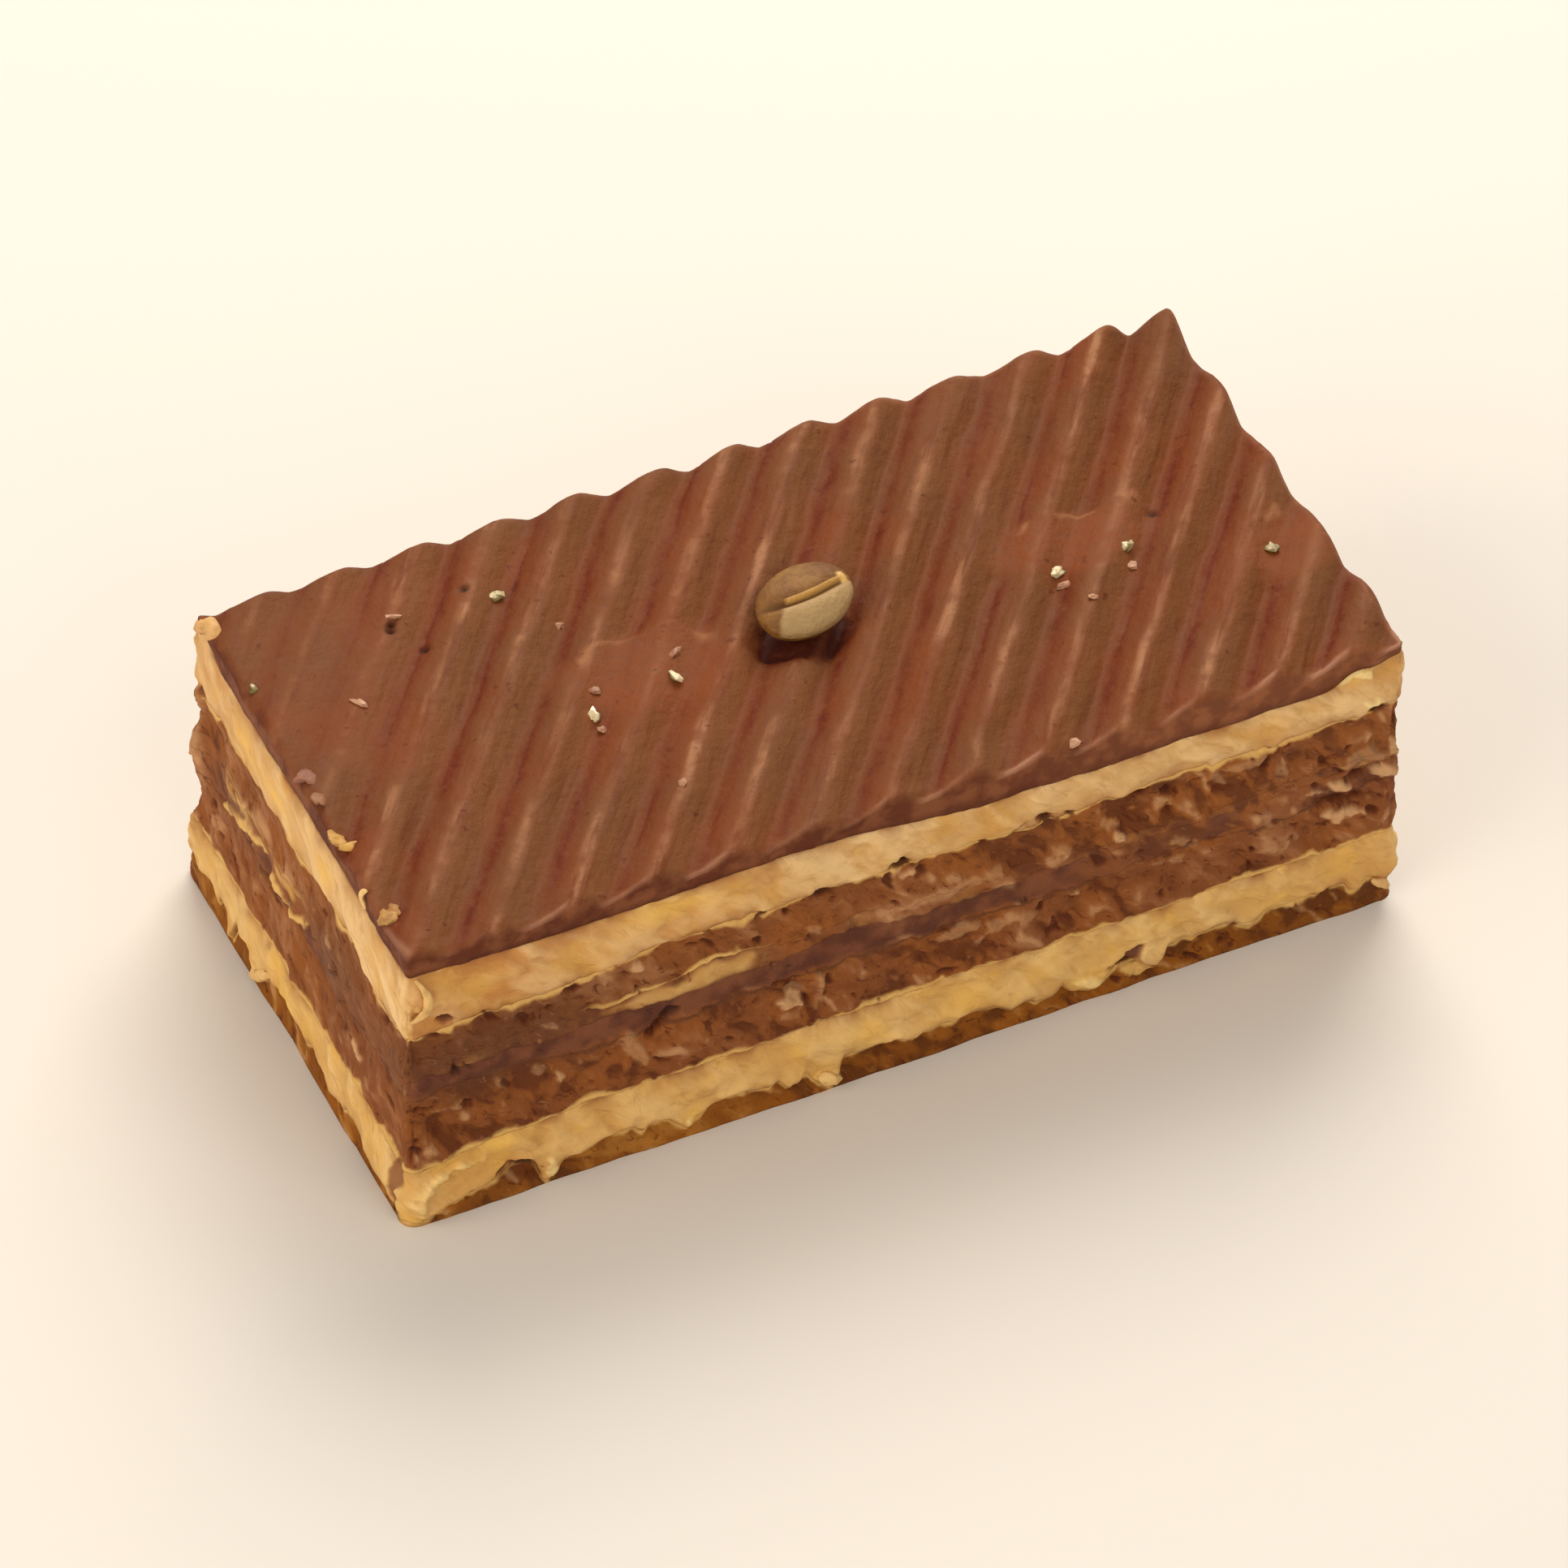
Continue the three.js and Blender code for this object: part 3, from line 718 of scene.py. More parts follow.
# moist torn sponge: soft lumps with leaning slivers, ragged pores, and the bits
def spongeLook(x, y, z, normals):
    sx, sy = leaning(x, y, z, normals, sponge)
    soft = crumble(sx, sy, 0.8 * z, sponge["lumpSize"])
    sliver = crumble(sx, sy, 0.6 * z, sponge["sliverSize"])
    pore = ease(crumble(sx, sy, 0.8 * z + 50, sponge["poreSize"]), 0.68, 1.1)
    lift, shows = sideBits(x, y, z, normals)
    height = sponge["lump"] * soft + sponge["sliver"] * sliver - sponge["pore"] * pore
    height = height + sponge["grain"] * crumble(x, y, z, 0.8, 2) + lift
    front = oval(x, z, *darkSpots["front"]) * hump(y + 24, 5)
    end = oval(y, z, *darkSpots["left"]) * hump(x + 50, 4)
    # tone: lighter on raised lumps and slivers and darker in hollows, as painted light and shade; lighter on
    # the left end too
    tone = 0.5 + 0.2 * soft + 0.45 * sliver + 0.2 * facing(normals, "left")
    for lighter, *spot in toneSpots:
        tone = tone + lighter * oval(x, z, *spot) * facing(normals, "front")
    marks = {
        "tone": tone,
        # pores painted dark as shade; sliver tops painted pale as highlights
        "hole": np.maximum(shows["hole"], 0.8 * pore),
        "pale": np.maximum(shows["pale"], 0.45 * ease(sliver, 0.6, 1.1)),
        "creamy": shows["creamy"],
        "dark": np.clip(1.6 * front + 0.9 * end + 0.25 * ease(lumps(x, y, z * 2, 9.0), 0.2, 0.8), 0, 1),
    }
    return height, marks


# a sponge layer's side: the sponge, its edges smeared raggedly with what lies next to them; the base's foot
# stands level
def spongeRelief(index, x, y, z, share, normals):
    height, marks = spongeLook(x, y, z, normals)
    looks = spongeLooks[layers[index]["node"]]
    rise, fall = z - z[:1], z[-1:] - z
    ragged = 0.55 + 0.8 * crumble(x, y, z + 400, 2.2)
    under = creamShows(x, y) if layers[index]["node"] == "upper_sponge" else 1.0
    for mark, away, extent in ((looks["low"], rise, under), (looks["high"], fall, 1.0)):
        if mark:
            reach = 0.1 + sponge["smear"] * np.clip(ragged, 0, 1)
            marks[mark] = np.maximum(marks[mark], extent * ease(away, reach, 0.35 * reach))
        if mark == "creamy":
            height = height * (1 - extent * (1 - edgeShare(away)))
    return height * (ease(rise, -0.3, 1.2) if index == 0 else 1), marks


# Cream

cream = {
    "stroke": 0.24, "strokeSize": 2.6,  # knife strokes
    "lean": 0.8, "curl": 1.3, "curlSize": 3.1,  # how much they lean and curl
    "soft": 0.32, "softSize": 2.6,
    "lip": {"lower_cream": 0.45, "middle_cream": 0.0, "upper_cream": 0.15},  # roll of the lower edge
    "tuck": 0.03,  # how far the edges turn in
    "haze": 0.8,  # how far sponge is smeared over an edge
}

creamTints = {
    "lower_cream": {
        "main": (216, 169, 95), "warm": (209, 157, 82), "pale": (234, 194, 126), "deep": (222, 171, 80)},
    "middle_cream": {
        "main": (200, 152, 82), "warm": (184, 132, 68), "pale": (220, 180, 112), "deep": (200, 146, 62)},
    "upper_cream": {
        "main": (213, 169, 107), "warm": (194, 131, 62), "pale": (236, 197, 138), "deep": (212, 158, 78)},
}

# yellow places of the front's cream: x, z, reach along and upwards
yellowSpots = [
    (6.0, 5.8, 2.4, 1.8), (-41.5, 7.2, 3.0, 0.9), (-4.0, 5.8, 1.8, 1.8), (-24.0, 29.8, 5.0, 1.2),
    (44.8, 31.6, 1.6, 1.0), (-8.5, 1.8, 2.0, 1.6), (18.5, 3.0, 2.0, 1.4), (-22.5, 2.6, 1.2, 1.4),
]

# the same of the left end's cream, with y in place of x
endYellowSpots = [(12.0, 28.4, 2.0, 1.8), (5.0, 28.0, 2.4, 1.6), (-6.0, 28.2, 1.6, 1.6), (2.0, 5.6, 3.0, 1.4)]


# colour of cream: warmer towards one end, paler along its raised strokes as painted highlights, with yellow
# patches, fine leaning lines darkened as painted shade, brown stains, and holes painted sponge brown and, in
# their depth, dark as shade
def creamColour(start, place, tints):
    slant = start.leaning(place, cream["lean"], 0.4)
    broad = start.cloud(place, 5.0, 4.0)
    fine = start.cloud(slant, 1.7, 4.0, 0.55, 0.7)
    hole = start.mark("hole")
    streak = (start.mark("streak") * 0.8 + fine * 0.7).ease(0.5, 1.2)
    colour = start.mix(start.mark("warm"), tints["main"], tints["warm"])
    colour = start.paint(
        colour,
        (broad.ease(0.48, 0.64) * 0.85, tints["deep"]),
        # paler on raised strokes: painted highlight
        (streak * (0.85 - start.mark("warm") * 0.4), tints["pale"]),
        # darker fine lines: painted shade
        (fine.ease(0.44, 0.32) * 0.3, (178, 124, 62)),
        (start.mark("stain"), (154, 94, 44)),
        (start.mark("yellow") * (0.4 + fine * 0.8), (232, 182, 88)),
        (start.mark("bright") * (0.4 + fine * 0.8), (244, 212, 142)),
        # holes: sponge brown, then painted shade in their depth
        (hole.ease(0.0, 0.6) * 0.8, (134, 68, 26)),
        (hole.ease(0.45, 1.1) * 0.9, (78, 31, 10)),
    )
    return colour, fine


def creamFinish(node):
    start, close = startFinish(node + "Smooth")
    colour, fine = creamColour(start, start.place(), creamTints[node])
    return close(
        Base_Color=colour, Roughness=0.48 + fine * 0.2, Normal=fine.bump(0.35), Specular_IOR_Level=0.3,
        Subsurface_Weight=0.1, Subsurface_Radius=(1.0, 0.6, 0.3), Subsurface_Scale=0.6 * mm)


# cream: leaning strokes on soft lumps, a lip over the sponge below, stains near both edges, and the bits
def creamRelief(index, x, y, z, share, normals):
    sx, sy = leaning(x, y, z, normals, cream)
    stroke = crumble(sx, sy, 0.5 * z, cream["strokeSize"], 4)
    soft = crumble(x * 0.6, y * 0.6, z + 60, cream["softSize"])
    lip = cream["lip"][layers[index]["node"]] * hump(share - 0.14, 0.13)
    lip = lip * (0.6 + 0.8 * lumps(x, y, 70 + index, 3.0))
    lift, shows = sideBits(x, y, z, normals)
    ragged = 0.8 * crumble(x, y, z + 90, 2.4)
    low = np.exp((z[:1] - z) / cream["haze"]) * np.clip(0.5 + ragged, 0, 1)
    high = np.exp((z - z[-1:]) / cream["haze"]) * np.clip(0.5 - ragged, 0, 1)
    warm = np.clip(0.35 - 0.015 * x, 0, 1) + 0.5 * ease(x, 38, 48)
    yellow = sum(oval(x, z, *spot) for spot in yellowSpots) * facing(normals, "front")
    yellow = yellow + sum(oval(y, z, *spot) for spot in endYellowSpots) * facing(normals, "left")
    # the streak follows the raised strokes, which the finish paints paler as highlights; holes are painted
    # dark
    marks = {
        "yellow": np.clip(yellow, 0, 1),
        "streak": np.clip(0.5 + 0.6 * stroke + shows["creamy"], 0, 1),
        "warm": np.clip(warm * np.clip(1 + 0.8 * normals[:, 0], 0, 1) + 0.4 * lumps(x, y, z, 9.0), 0, 1),
        "stain": np.clip(low + high, 0, 1),
        "hole": shows["hole"], "bright": shows["creamy"],
    }
    fine = (cream["stroke"] * stroke + cream["soft"] * soft) * edgeShare(z - z[:1]) * edgeShare(z[-1:] - z)
    return fine + lip + lift, marks


# Ganache and middle cream, which the knife blurred into the sponge in places

blend = {
    "ripple": 0.12, "rippleSize": 2.2,
    # where the middle cream shows, along x and along y: it sets in, is whole, fades and ends
    "creamFront": (-35, -28, -18, -13), "creamLeft": (-2.5, 0.5, 15.5, 18.5), "creamLeftShare": 0.4,
    "ganacheFront": (10, 22),  # where the ganache fades along x, and ends
    "ganacheSpot": (31, 3, 0.4),  # a weak spot further on: x, reach, share
}


# 0 outside a stretch and 1 in it, eased at both its ends
def within(value, setsIn, whole, fades, ends):
    return ease(value, setsIn, whole) * ease(-value, -ends, -fades)


# the front's value, the left end's or the rest's; the front and the left end share the corner between them
def bySide(x, y, front, left, rest):
    near = 1.5
    fromFront, fromLeft = y + cut["width"] / 2, x + cut["length"] / 2
    onFront = (fromFront < near) & (fromFront < fromLeft)
    return np.where(onFront, front, np.where(fromLeft < near, left, rest))


# where the middle cream shows as cream, 0 to 1: a stretch of the front, one of the left end, and stretches
# by chance elsewhere
def creamShows(x, y):
    front = within(x, *blend["creamFront"])
    left = blend["creamLeftShare"] * within(y, *blend["creamLeft"])
    return bySide(x, y, front, left, ease(lumps(x, y, 990.0, 13.0), -0.1, 0.35))


# where the ganache shows as ganache: the front's left and middle, the left end weakly, stretches elsewhere
def ganacheShows(x, y):
    fades, ends = blend["ganacheFront"]
    spot, reach, share = blend["ganacheSpot"]
    front = ease(-x, -ends, -fades) + share * hump(x - spot, reach)
    left = 0.35 - 0.1 * ease(y, -5, 10)
    return bySide(x, y, front, left, ease(lumps(x, y, 77.0, 16.0), -0.3, 0.3))


# a thin layer's side between its own look and the sponge's, by how much of it shows; its colours fade
# raggedly at its edges, where it lies flush with its neighbours
def blendRelief(index, x, y, z, share, normals):
    sunk, marks = spongeLook(x, y, z, normals)
    ragged = crumble(x, y, z, 2.6)
    rise, fall = z - z[:1], z[-1:] - z
    if layers[index]["node"] == "middle_cream":
        own, extra = creamRelief(index, x, y, z, share, normals)
        shows, fade = creamShows(x, y), np.minimum(rise, fall)
        height = sunk + (own - sunk) * shows
        marks.update({name: extra[name] for name in ("streak", "warm", "yellow")}, stain=0.5 * extra["stain"])
        dusk = ganacheShows(x, y) * np.exp(-rise / 0.4) * np.clip(0.6 + 0.7 * ragged, 0, 1)
        marks["dark"] = np.maximum(marks["dark"], dusk)
    else:
        own = blend["ripple"] * crumble(x, y, z, blend["rippleSize"]) + sideBits(x, y, z, normals)[0]
        shows, fade = ganacheShows(x, y), rise
        height = sunk + 0.6 * (own - sunk) * np.clip(shows, 0, 1) * ease(rise, 0.0, 0.8)
        flush = sunk * (1 - creamShows(x, y) * (1 - edgeShare(0.0)))
        height = flush + (height - flush) * ease(fall, 0.0, 0.7)
    shows = shows + 0.9 * ragged * np.clip(4 * shows * (1 - shows), 0.45, 1)
    marks["shows"] = ease(shows, 0.1, 0.9) * ease(fade + 0.5 * ragged, -0.3, 0.9)
    return height, marks


# finish of a thin layer: its own colour where it shows, the neighbouring sponge's elsewhere
def blendFinish(name, neighbour, ownColour):
    start, close = startFinish(name)
    place = start.place()
    crumb, fine, grit = crumbColour(start, place, spongeLooks[neighbour])
    colour = start.mix(start.mark("shows"), crumb, ownColour(start, place, fine))
    relief = (fine * 0.6 + grit * 0.4).bump(0.2)
    return close(Base_Color=colour, Roughness=0.55 + fine * 0.2, Normal=relief, Specular_IOR_Level=0.25)


def ganacheColour(start, place, fine):
    colour = start.mix(start.cloud(place, 3.2, 4.0).ease(0.36, 0.64), (88, 43, 24), (120, 67, 39))
    return start.paint(
        colour,
        (fine.ease(0.62, 0.8) * 0.4, (140, 82, 46)),
        # holes: painted dark as shade
        (start.mark("hole") * 0.85, (50, 19, 9)),
    )


def middleCreamColour(start, place, fine):
    return creamColour(start, place, creamTints["middle_cream"])[0]


# side points of all layers, where strands find the surface
sideGrid = []


# a layer's closed surface: rows climb the cut side, turn in at both edges and run to a pole in the middle
def makeLayer(index, relief, finish, tuck=0.0):
    layer = layers[index]
    places, normals = cutOutline(cut["step"])
    x, y = places.T
    bottom, top = topHeight(index - 1, x, y), topHeight(index, x, y)
    rows = max(int((top - bottom).mean() / cut["step"]), 6)
    share = np.linspace(0, 1, rows)[:, None]
    z = bottom + np.maximum(top - bottom, cut["thinnest"]) * share
    fine, marks = relief(index, x, y, z, share, normals)
    out = coarseOut(x, y, z, normals, 4 * share * (1 - share), layer)
    out = out + fine - tuck * np.abs(2 * share - 1) ** 8
    side = np.stack([x + out * normals[:, 0], y + out * normals[:, 1], z], -1)
    sideGrid.append(np.concatenate([side, np.broadcast_to(normals, (rows, len(x), 2))], -1).reshape(-1, 5))
    lowRing, highRing = side[0].copy(), side[-1].copy()
    lowRing[:, :2] -= cut["inset"] * normals
    highRing[:, :2] -= cut["inset"] * normals
    poles = [[0, 0, lowRing[:, 2].mean()], [0, 0, highRing[:, 2].mean()]]
    points = np.concatenate([lowRing[None], side, highRing[None]]).reshape(-1, 3)
    points = np.concatenate([points, poles])
    padded = {}
    for name, values in marks.items():
        values = np.broadcast_to(values, z.shape)
        padded[name] = np.append(np.concatenate([values[:1], values, values[-1:]]).ravel(), [0.0, 0.0])
    faces = closedRings(rows + 2, len(x))
    makePiece(layer["node"] + "Detail", points, faces, finish, padded, layer["node"])


makeLayer(0, spongeRelief, spongeFinish("base_sponge"))
makeLayer(1, creamRelief, creamFinish("lower_cream"), cream["tuck"])
makeLayer(2, spongeRelief, spongeFinish("lower_sponge"))
makeLayer(3, blendRelief, blendFinish("darkGanache", "lower_sponge", ganacheColour))
makeLayer(4, blendRelief, blendFinish("middleCream", "upper_sponge", middleCreamColour))
makeLayer(5, spongeRelief, spongeFinish("upper_sponge"))
makeLayer(6, creamRelief, creamFinish("upper_cream"), cream["tuck"])
sideGrid = np.concatenate(sideGrid)
print("layers made")


# Coffee bean's sizes, which the hollow in the glaze shares

bean = {
    "long": 5.0, "wide": 3.7, "belly": 3.0, "face": 1.5,
    "centre": (0.7, 0.65, 36.5), "heading": 16.0, "lean": 9.0,
    "crease": 0.48, "creaseBreadth": 0.34,
    "aside": -0.8, "bend": 1.15, "straight": 0.35,  # where the crease lies, how it curls, where that begins
    "rounds": 180, "rings": 110,
    "gap": 0.12,  # clearance of the hollow that it lies in
    # hollow pressed round its front: middle and half sizes in the bean's own axes, and depth
    "hollow": {"along": -1.0, "aside": -0.7, "long": 5.5, "broad": 4.1, "depth": 0.7},
}


# Glaze with its comb marks

glaze = {
    # the ridges' heading in degrees, spacing, shift across, and the share of the spacing that falls
    "angle": 52.0, "pitch": 6.2, "crest": 0.74, "drop": 0.4,
    # the grooves' level, the ridges' height, its gain along x, and how far they waver
    "level": 33.3, "depth": 1.5, "gain": 0.6, "waver": 0.35,
    # smeared spots: x, y, half length, half breadth
    "smears": [(-15, 0, 8, 4.5), (29, 0, 8, 3.5), (46, -8.5, 4, 4)], "smearStrength": 0.6, "smearLevel": 0.55,
    "rim": 0.12,  # torn rim behind a smear
    "peak": (47.5, 23.5, 5.0, 1.1, 0.3, 0.5),  # deeper combed corner: x, y, reach, rise, fall, shift across
    "weak": (-43, 10, 10, 14, 0.6),  # lightly combed part: x, y, half length, half breadth, strength
    "press": 0.25, "pressReach": 3.0,  # the front edge, pressed down by the knife
    "scratch": 0.1, "tooth": 0.16, "lump": 0.1, "uneven": 0.25,  # depths, and how unevenly it is combed
    "edge": 1.1, "edgeDrop": 0.5,  # rounding along the cut
    "lip": 0.35,  # burr that the knife drew up on the ridges' rising flanks
    # pinholes and one slit: x, y, reach, depth
    "pinholes": [(-32.5, 11.5, 0.4, 0.6), (-26.3, 16.6, 0.45, 0.5), (-34.6, 14.6, 0.45, 0.6),
                 (-34.2, 15.3, 0.4, 0.5), (36.5, 0.5, 0.4, 0.4)],
    # marks on a ridge: place and breadth as shares of the pitch; the groove's is painted shade, the lit
    # flank's painted light, the crest's a painted highlight
    "phases": {"tooth": (0.55, 0.02), "nick": (0.26, 0.015), "grooveShade": (0.58, 0.1), "litFlank": (0.2, 0.13),
               "crest": (0.96, 0.09)},
    "step": 0.245, "skirtRows": 12,
}


# height of one ridge over its pitch: 1 on the round crest, 0 in the sharp groove
def ridgeProfile(across):
    drop = glaze["drop"]
    share = across / glaze["pitch"] - np.floor(across / glaze["pitch"])
    climb = np.where(share < drop, 1 - share / drop, (share - drop) / (1 - drop))
    return 0.5 * climb + 2 * climb ** 2 - 1.5 * climb ** 3, share


# how far the comb marks are smeared level at a place, and the torn rim behind each smear
def smearShare(x, y):
    torn = 0.6 * crumble(x, y, 860.0, 4.0)
    share, rim = np.zeros(np.broadcast(x, y).shape), np.zeros(np.broadcast(x, y).shape)
    for sx, sy, long, broad in glaze["smears"]:
        inside = 1 - ((x - sx) / long) ** 2 - ((y - sy) / broad) ** 2 + torn
        share = np.maximum(share, ease(inside, -1.2, 0.9))
        rim = np.maximum(rim, hump(inside, 0.2) * ease(y - sy, 1.0, 3.0))
    return glaze["smearStrength"] * share, rim * ease(lumps(x, y, 865.0, 2.2), -0.1, 0.4)


# how near the ridge's phase is to one of its marks, 0 to 1
def nearMark(phase, mark):
    place, breadth = glaze["phases"][mark]
    return hump(np.abs((phase - place + 0.5) % 1 - 0.5), breadth)


# place in the bean's own axes as seen from above
def beanPlace(x, y):
    a = math.radians(bean["heading"])
    dx, dy = x - bean["centre"][0], y - bean["centre"][1]
    return turned(dx, dy, -a)


# underside of the bean seen from above, for the hollow that it lies in; high outside it
def beanUnder(x, y):
    along, aside = beanPlace(x, y)
    inside = 1 - (along / (bean["long"] + bean["gap"])) ** 2 - (aside / (bean["wide"] + bean["gap"])) ** 2
    return bean["centre"][2] - (bean["belly"] + bean["gap"]) * np.sqrt(np.clip(inside, 0, 1))


# hollow pressed round the bean's front, 0 to 1 inside a ragged oval
def beanHollow(x, y):
    along, aside = beanPlace(x, y)
    hollow = bean["hollow"]
    gone = np.hypot((along - hollow["along"]) / hollow["long"], (aside - hollow["aside"]) / hollow["broad"])
    return ease(1 - gone + 0.13 * crumble(x, y, 910.0, 1.8), -0.24, 0.3)


# top of the glaze: ridges wavering along their heading, deeper at one corner, smeared spots with torn rims,
# tooth lines, scratches, pinholes and the bean's hollow
def combHeight(x, y):
    heading = math.radians(glaze["angle"])
    across = x * math.sin(heading) - y * math.cos(heading) - glaze["crest"]
    along = x * math.cos(heading) + y * math.sin(heading)
    waver = glaze["waver"] * lumps(x, y, 800.0, cut["swellSize"]) + 0.3 * lumps(x, y, 810.0, 4.0)
    px, py, reach, rise, fall, shift = glaze["peak"]
    peak = hump(np.hypot(x - px, y - py), reach)
    ridge, phase = ridgeProfile(across + waver + shift * peak)
    smeared, rim = smearShare(x, y)
    wx, wy, long, broad, strength = glaze["weak"]
    weak = strength * np.exp(-((x - wx) / long) ** 4 - ((y - wy) / broad) ** 4)
    weak = np.clip(weak + glaze["uneven"] * lumps(across * 0.7, along * 0.25, 880.0, 4.0), 0, 1)
    level = smeared + weak * (1 - smeared)
    press = hump(y + cut["width"] / 2, glaze["pressReach"])
    depth = (glaze["depth"] + glaze["gain"] * x / cut["length"]) * (1 - glaze["press"] * press) + rise * peak
    height = glaze["level"] - glaze["press"] * press - fall * peak
    height = height + depth * (ridge * (1 - level) + glaze["smearLevel"] * level)
    tooth = nearMark(phase, "tooth") + 0.6 * nearMark(phase, "nick")
    tooth = tooth * ease(lumps(across, along * 0.3, 815.0, 2.0), -0.1, 0.5) * (1 - level)
    height = height - glaze["tooth"] * tooth + glaze["rim"] * rim
    height = height + glaze["scratch"] * crumble(across, along * 0.12, 820.0, 1.3) * (1 - 0.6 * smeared)
    height = height + glaze["lump"] * crumble(x, y, 830.0, 3.5, 4)
    hole = np.zeros(height.shape)
    for hx, hy, breadth, deep in glaze["pinholes"]:
        pin = hump(np.hypot(x - hx, y - hy), breadth)
        height, hole = height - deep * pin, np.maximum(hole, pin)
    hollow = beanHollow(x, y)
    height = np.minimum(height - bean["hollow"]["depth"] * hollow, beanUnder(x, y))
    # painted shade in the grooves and tooth lines
    grooveShade = nearMark(phase, "grooveShade") * (1 - level) * (0.7 + 0.7 * lumps(x, y, 870.0, 4.0))
    # painted light on the lit flank of each ridge
    litFlank = nearMark(phase, "litFlank") * (1 - level)
    # painted highlight along the crests
    crest = nearMark(phase, "crest") * (1 - level) * (0.7 + 0.7 * lumps(x, y, 875.0, 5.0))
    # painted shadow in the hollow under the bean, weaker on lit flanks and crests
    dusk = hollow ** 1.3 * np.clip(1 - 0.5 * litFlank - 0.4 * crest, 0, 1)
    marks = {"grooveShade": np.clip(grooveShade + 0.8 * tooth, 0, 1), "smear": smeared, "hollow": dusk,
             "crest": np.clip(crest, 0, 1), "litFlank": litFlank, "hole": hole, "rim": rim, "phase": phase}
    return height, marks


def glazeFinish():
    start, close = startFinish("chocolateGlaze")
    place = start.place()
    drawn = start.place((9.0, 1.0, 1.0), glaze["angle"])
    broad = start.cloud(place, 11.0, 4.0)
    streak = start.cloud(drawn, 1.1, 4.0, 0.6)
    fine = start.cloud(place, 1.2, 4.0, 0.62)
    speck = start.cloud(place, 1.3, 2.0)
    glintPatches = start.cloud(place, 2.6, 3.0).ease(0.38, 0.6)
    names = ("grooveShade", "smear", "side", "hollow", "crest", "litFlank", "hole", "rim", "lip", "foot")
    grooveShade, smear, side, hollow, crest, litFlank, hole, rim, lip, foot = [start.mark(name) for name in names]
    right = start.node("ShaderNodeSeparateXYZ", None, {"Vector": place}, "X").ease(-10 * mm, 35 * mm)
    cutShare = start.cloud(place, 3.0, 4.0).ease(0.4, 0.62) * 0.6 + right * 0.4
    cutColour = start.mix(cutShare, (92, 41, 21), (146, 88, 54))
    colour = start.mix(broad.ease(0.35, 0.68), (108, 61, 30), (116, 58, 23))
    colour = start.paint(
        colour,
        # lit flanks: painted light
        (litFlank * (0.45 + broad * 0.4), (126, 80, 46)),
        (streak.ease(0.5, 0.78) * 0.5, (92, 41, 16)),
        # grooves and tooth lines: painted shade
        (grooveShade * fine.ease(0.2, 0.55) * 0.95, (98, 35, 7)),
        (grooveShade * speck.ease(0.54, 0.68) * 0.55, (82, 26, 4)),
        (smear * fine.ease(0.2, 0.6), (126, 63, 23)),
        # crests: painted highlights, broken into glint patches
        (crest * streak.ease(0.68, 0.36) * (0.35 + glintPatches * 0.75), (154, 104, 70)),
        # torn rims: painted highlight
        (rim * 0.7, (156, 102, 66)),
        (speck.ease(0.67, 0.75) * 0.6, (86, 36, 13)),
        (side * 0.85, cutColour),
        (foot.ease(0.5, 1.0) * 0.55, (76, 30, 14)),
        # burr along the cut: painted highlight
        (lip * 0.95, (172, 122, 94)),
        # hollow under the bean: painted shadow
        (hollow.ease(0.0, 0.45) * 0.55, (108, 42, 16)),
        (hollow.ease(0.3, 0.75) * fine.ease(0.1, 0.5) * 0.9, (62, 16, 5)),
        # pinholes: painted dark as shade
        (hole, (44, 16, 9)),
    )
    relief = (fine * 0.7 + speck * 0.3 + streak * 0.3).bump(0.3)
    return close(Base_Color=colour, Roughness=0.55 + fine * 0.2, Normal=relief, Specular_IOR_Level=0.16)


# grid over the top with rounded corners: its places, how far they are from the cut, the way out near it
def glazeGrid():
    halfX, halfY, corner = cut["length"] / 2, cut["width"] / 2, cut["corner"]
    across, deep = int(cut["length"] / glaze["step"]), int(cut["width"] / glaze["step"])
    gx, gy = np.meshgrid(np.linspace(-halfX, halfX, across), np.linspace(-halfY, halfY, deep))
    overX, overY = np.maximum(np.abs(gx) - halfX + corner, 0), np.maximum(np.abs(gy) - halfY + corner, 0)
    far = np.maximum(np.hypot(overX, overY), 1e-9)
    pull = np.where((overX > 0) & (overY > 0), np.maximum(overX, overY) / far, 1.0)
    x = np.sign(gx) * (np.abs(gx) - overX * (1 - pull))
    y = np.sign(gy) * (np.abs(gy) - overY * (1 - pull))
    outX = x - np.clip(x, corner - halfX, halfX - corner)
    outY = y - np.clip(y, corner - halfY, halfY - corner)
    length = np.maximum(np.hypot(outX, outY), 1e-9)
    return x, y, np.minimum(halfX - np.abs(gx), halfY - np.abs(gy)), outX / length, outY / length


# burr of the front's cut, 0 to 1, on the rising flanks of the ridges
def cutBurr(x, y, gap, phase):
    climb = (phase - glaze["drop"]) / (1 - glaze["drop"])
    burr = hump(gap - 0.1 - 0.7 * np.clip(climb, 0, 1) ** 2.2, 0.27)
    burr = burr * ease(climb, -0.25, 0.1) * ease(climb, 0.95, 0.75)
    burr = burr * np.clip(0.9 + 0.9 * crumble(x, y, 850.0, 5.0), 0, 1) * (0.55 + 0.45 * ease(x, -10, 20))
    return burr * ease(-y, 15, 22)


# a grid's outermost points in turn
def edgeLoop(deep, across):
    return np.concatenate([
        np.arange(across - 1),
        np.arange(deep - 1) * across + across - 1,
        (deep - 1) * across + np.arange(across - 1, 0, -1),
        np.arange(deep - 1, 0, -1) * across,
    ])


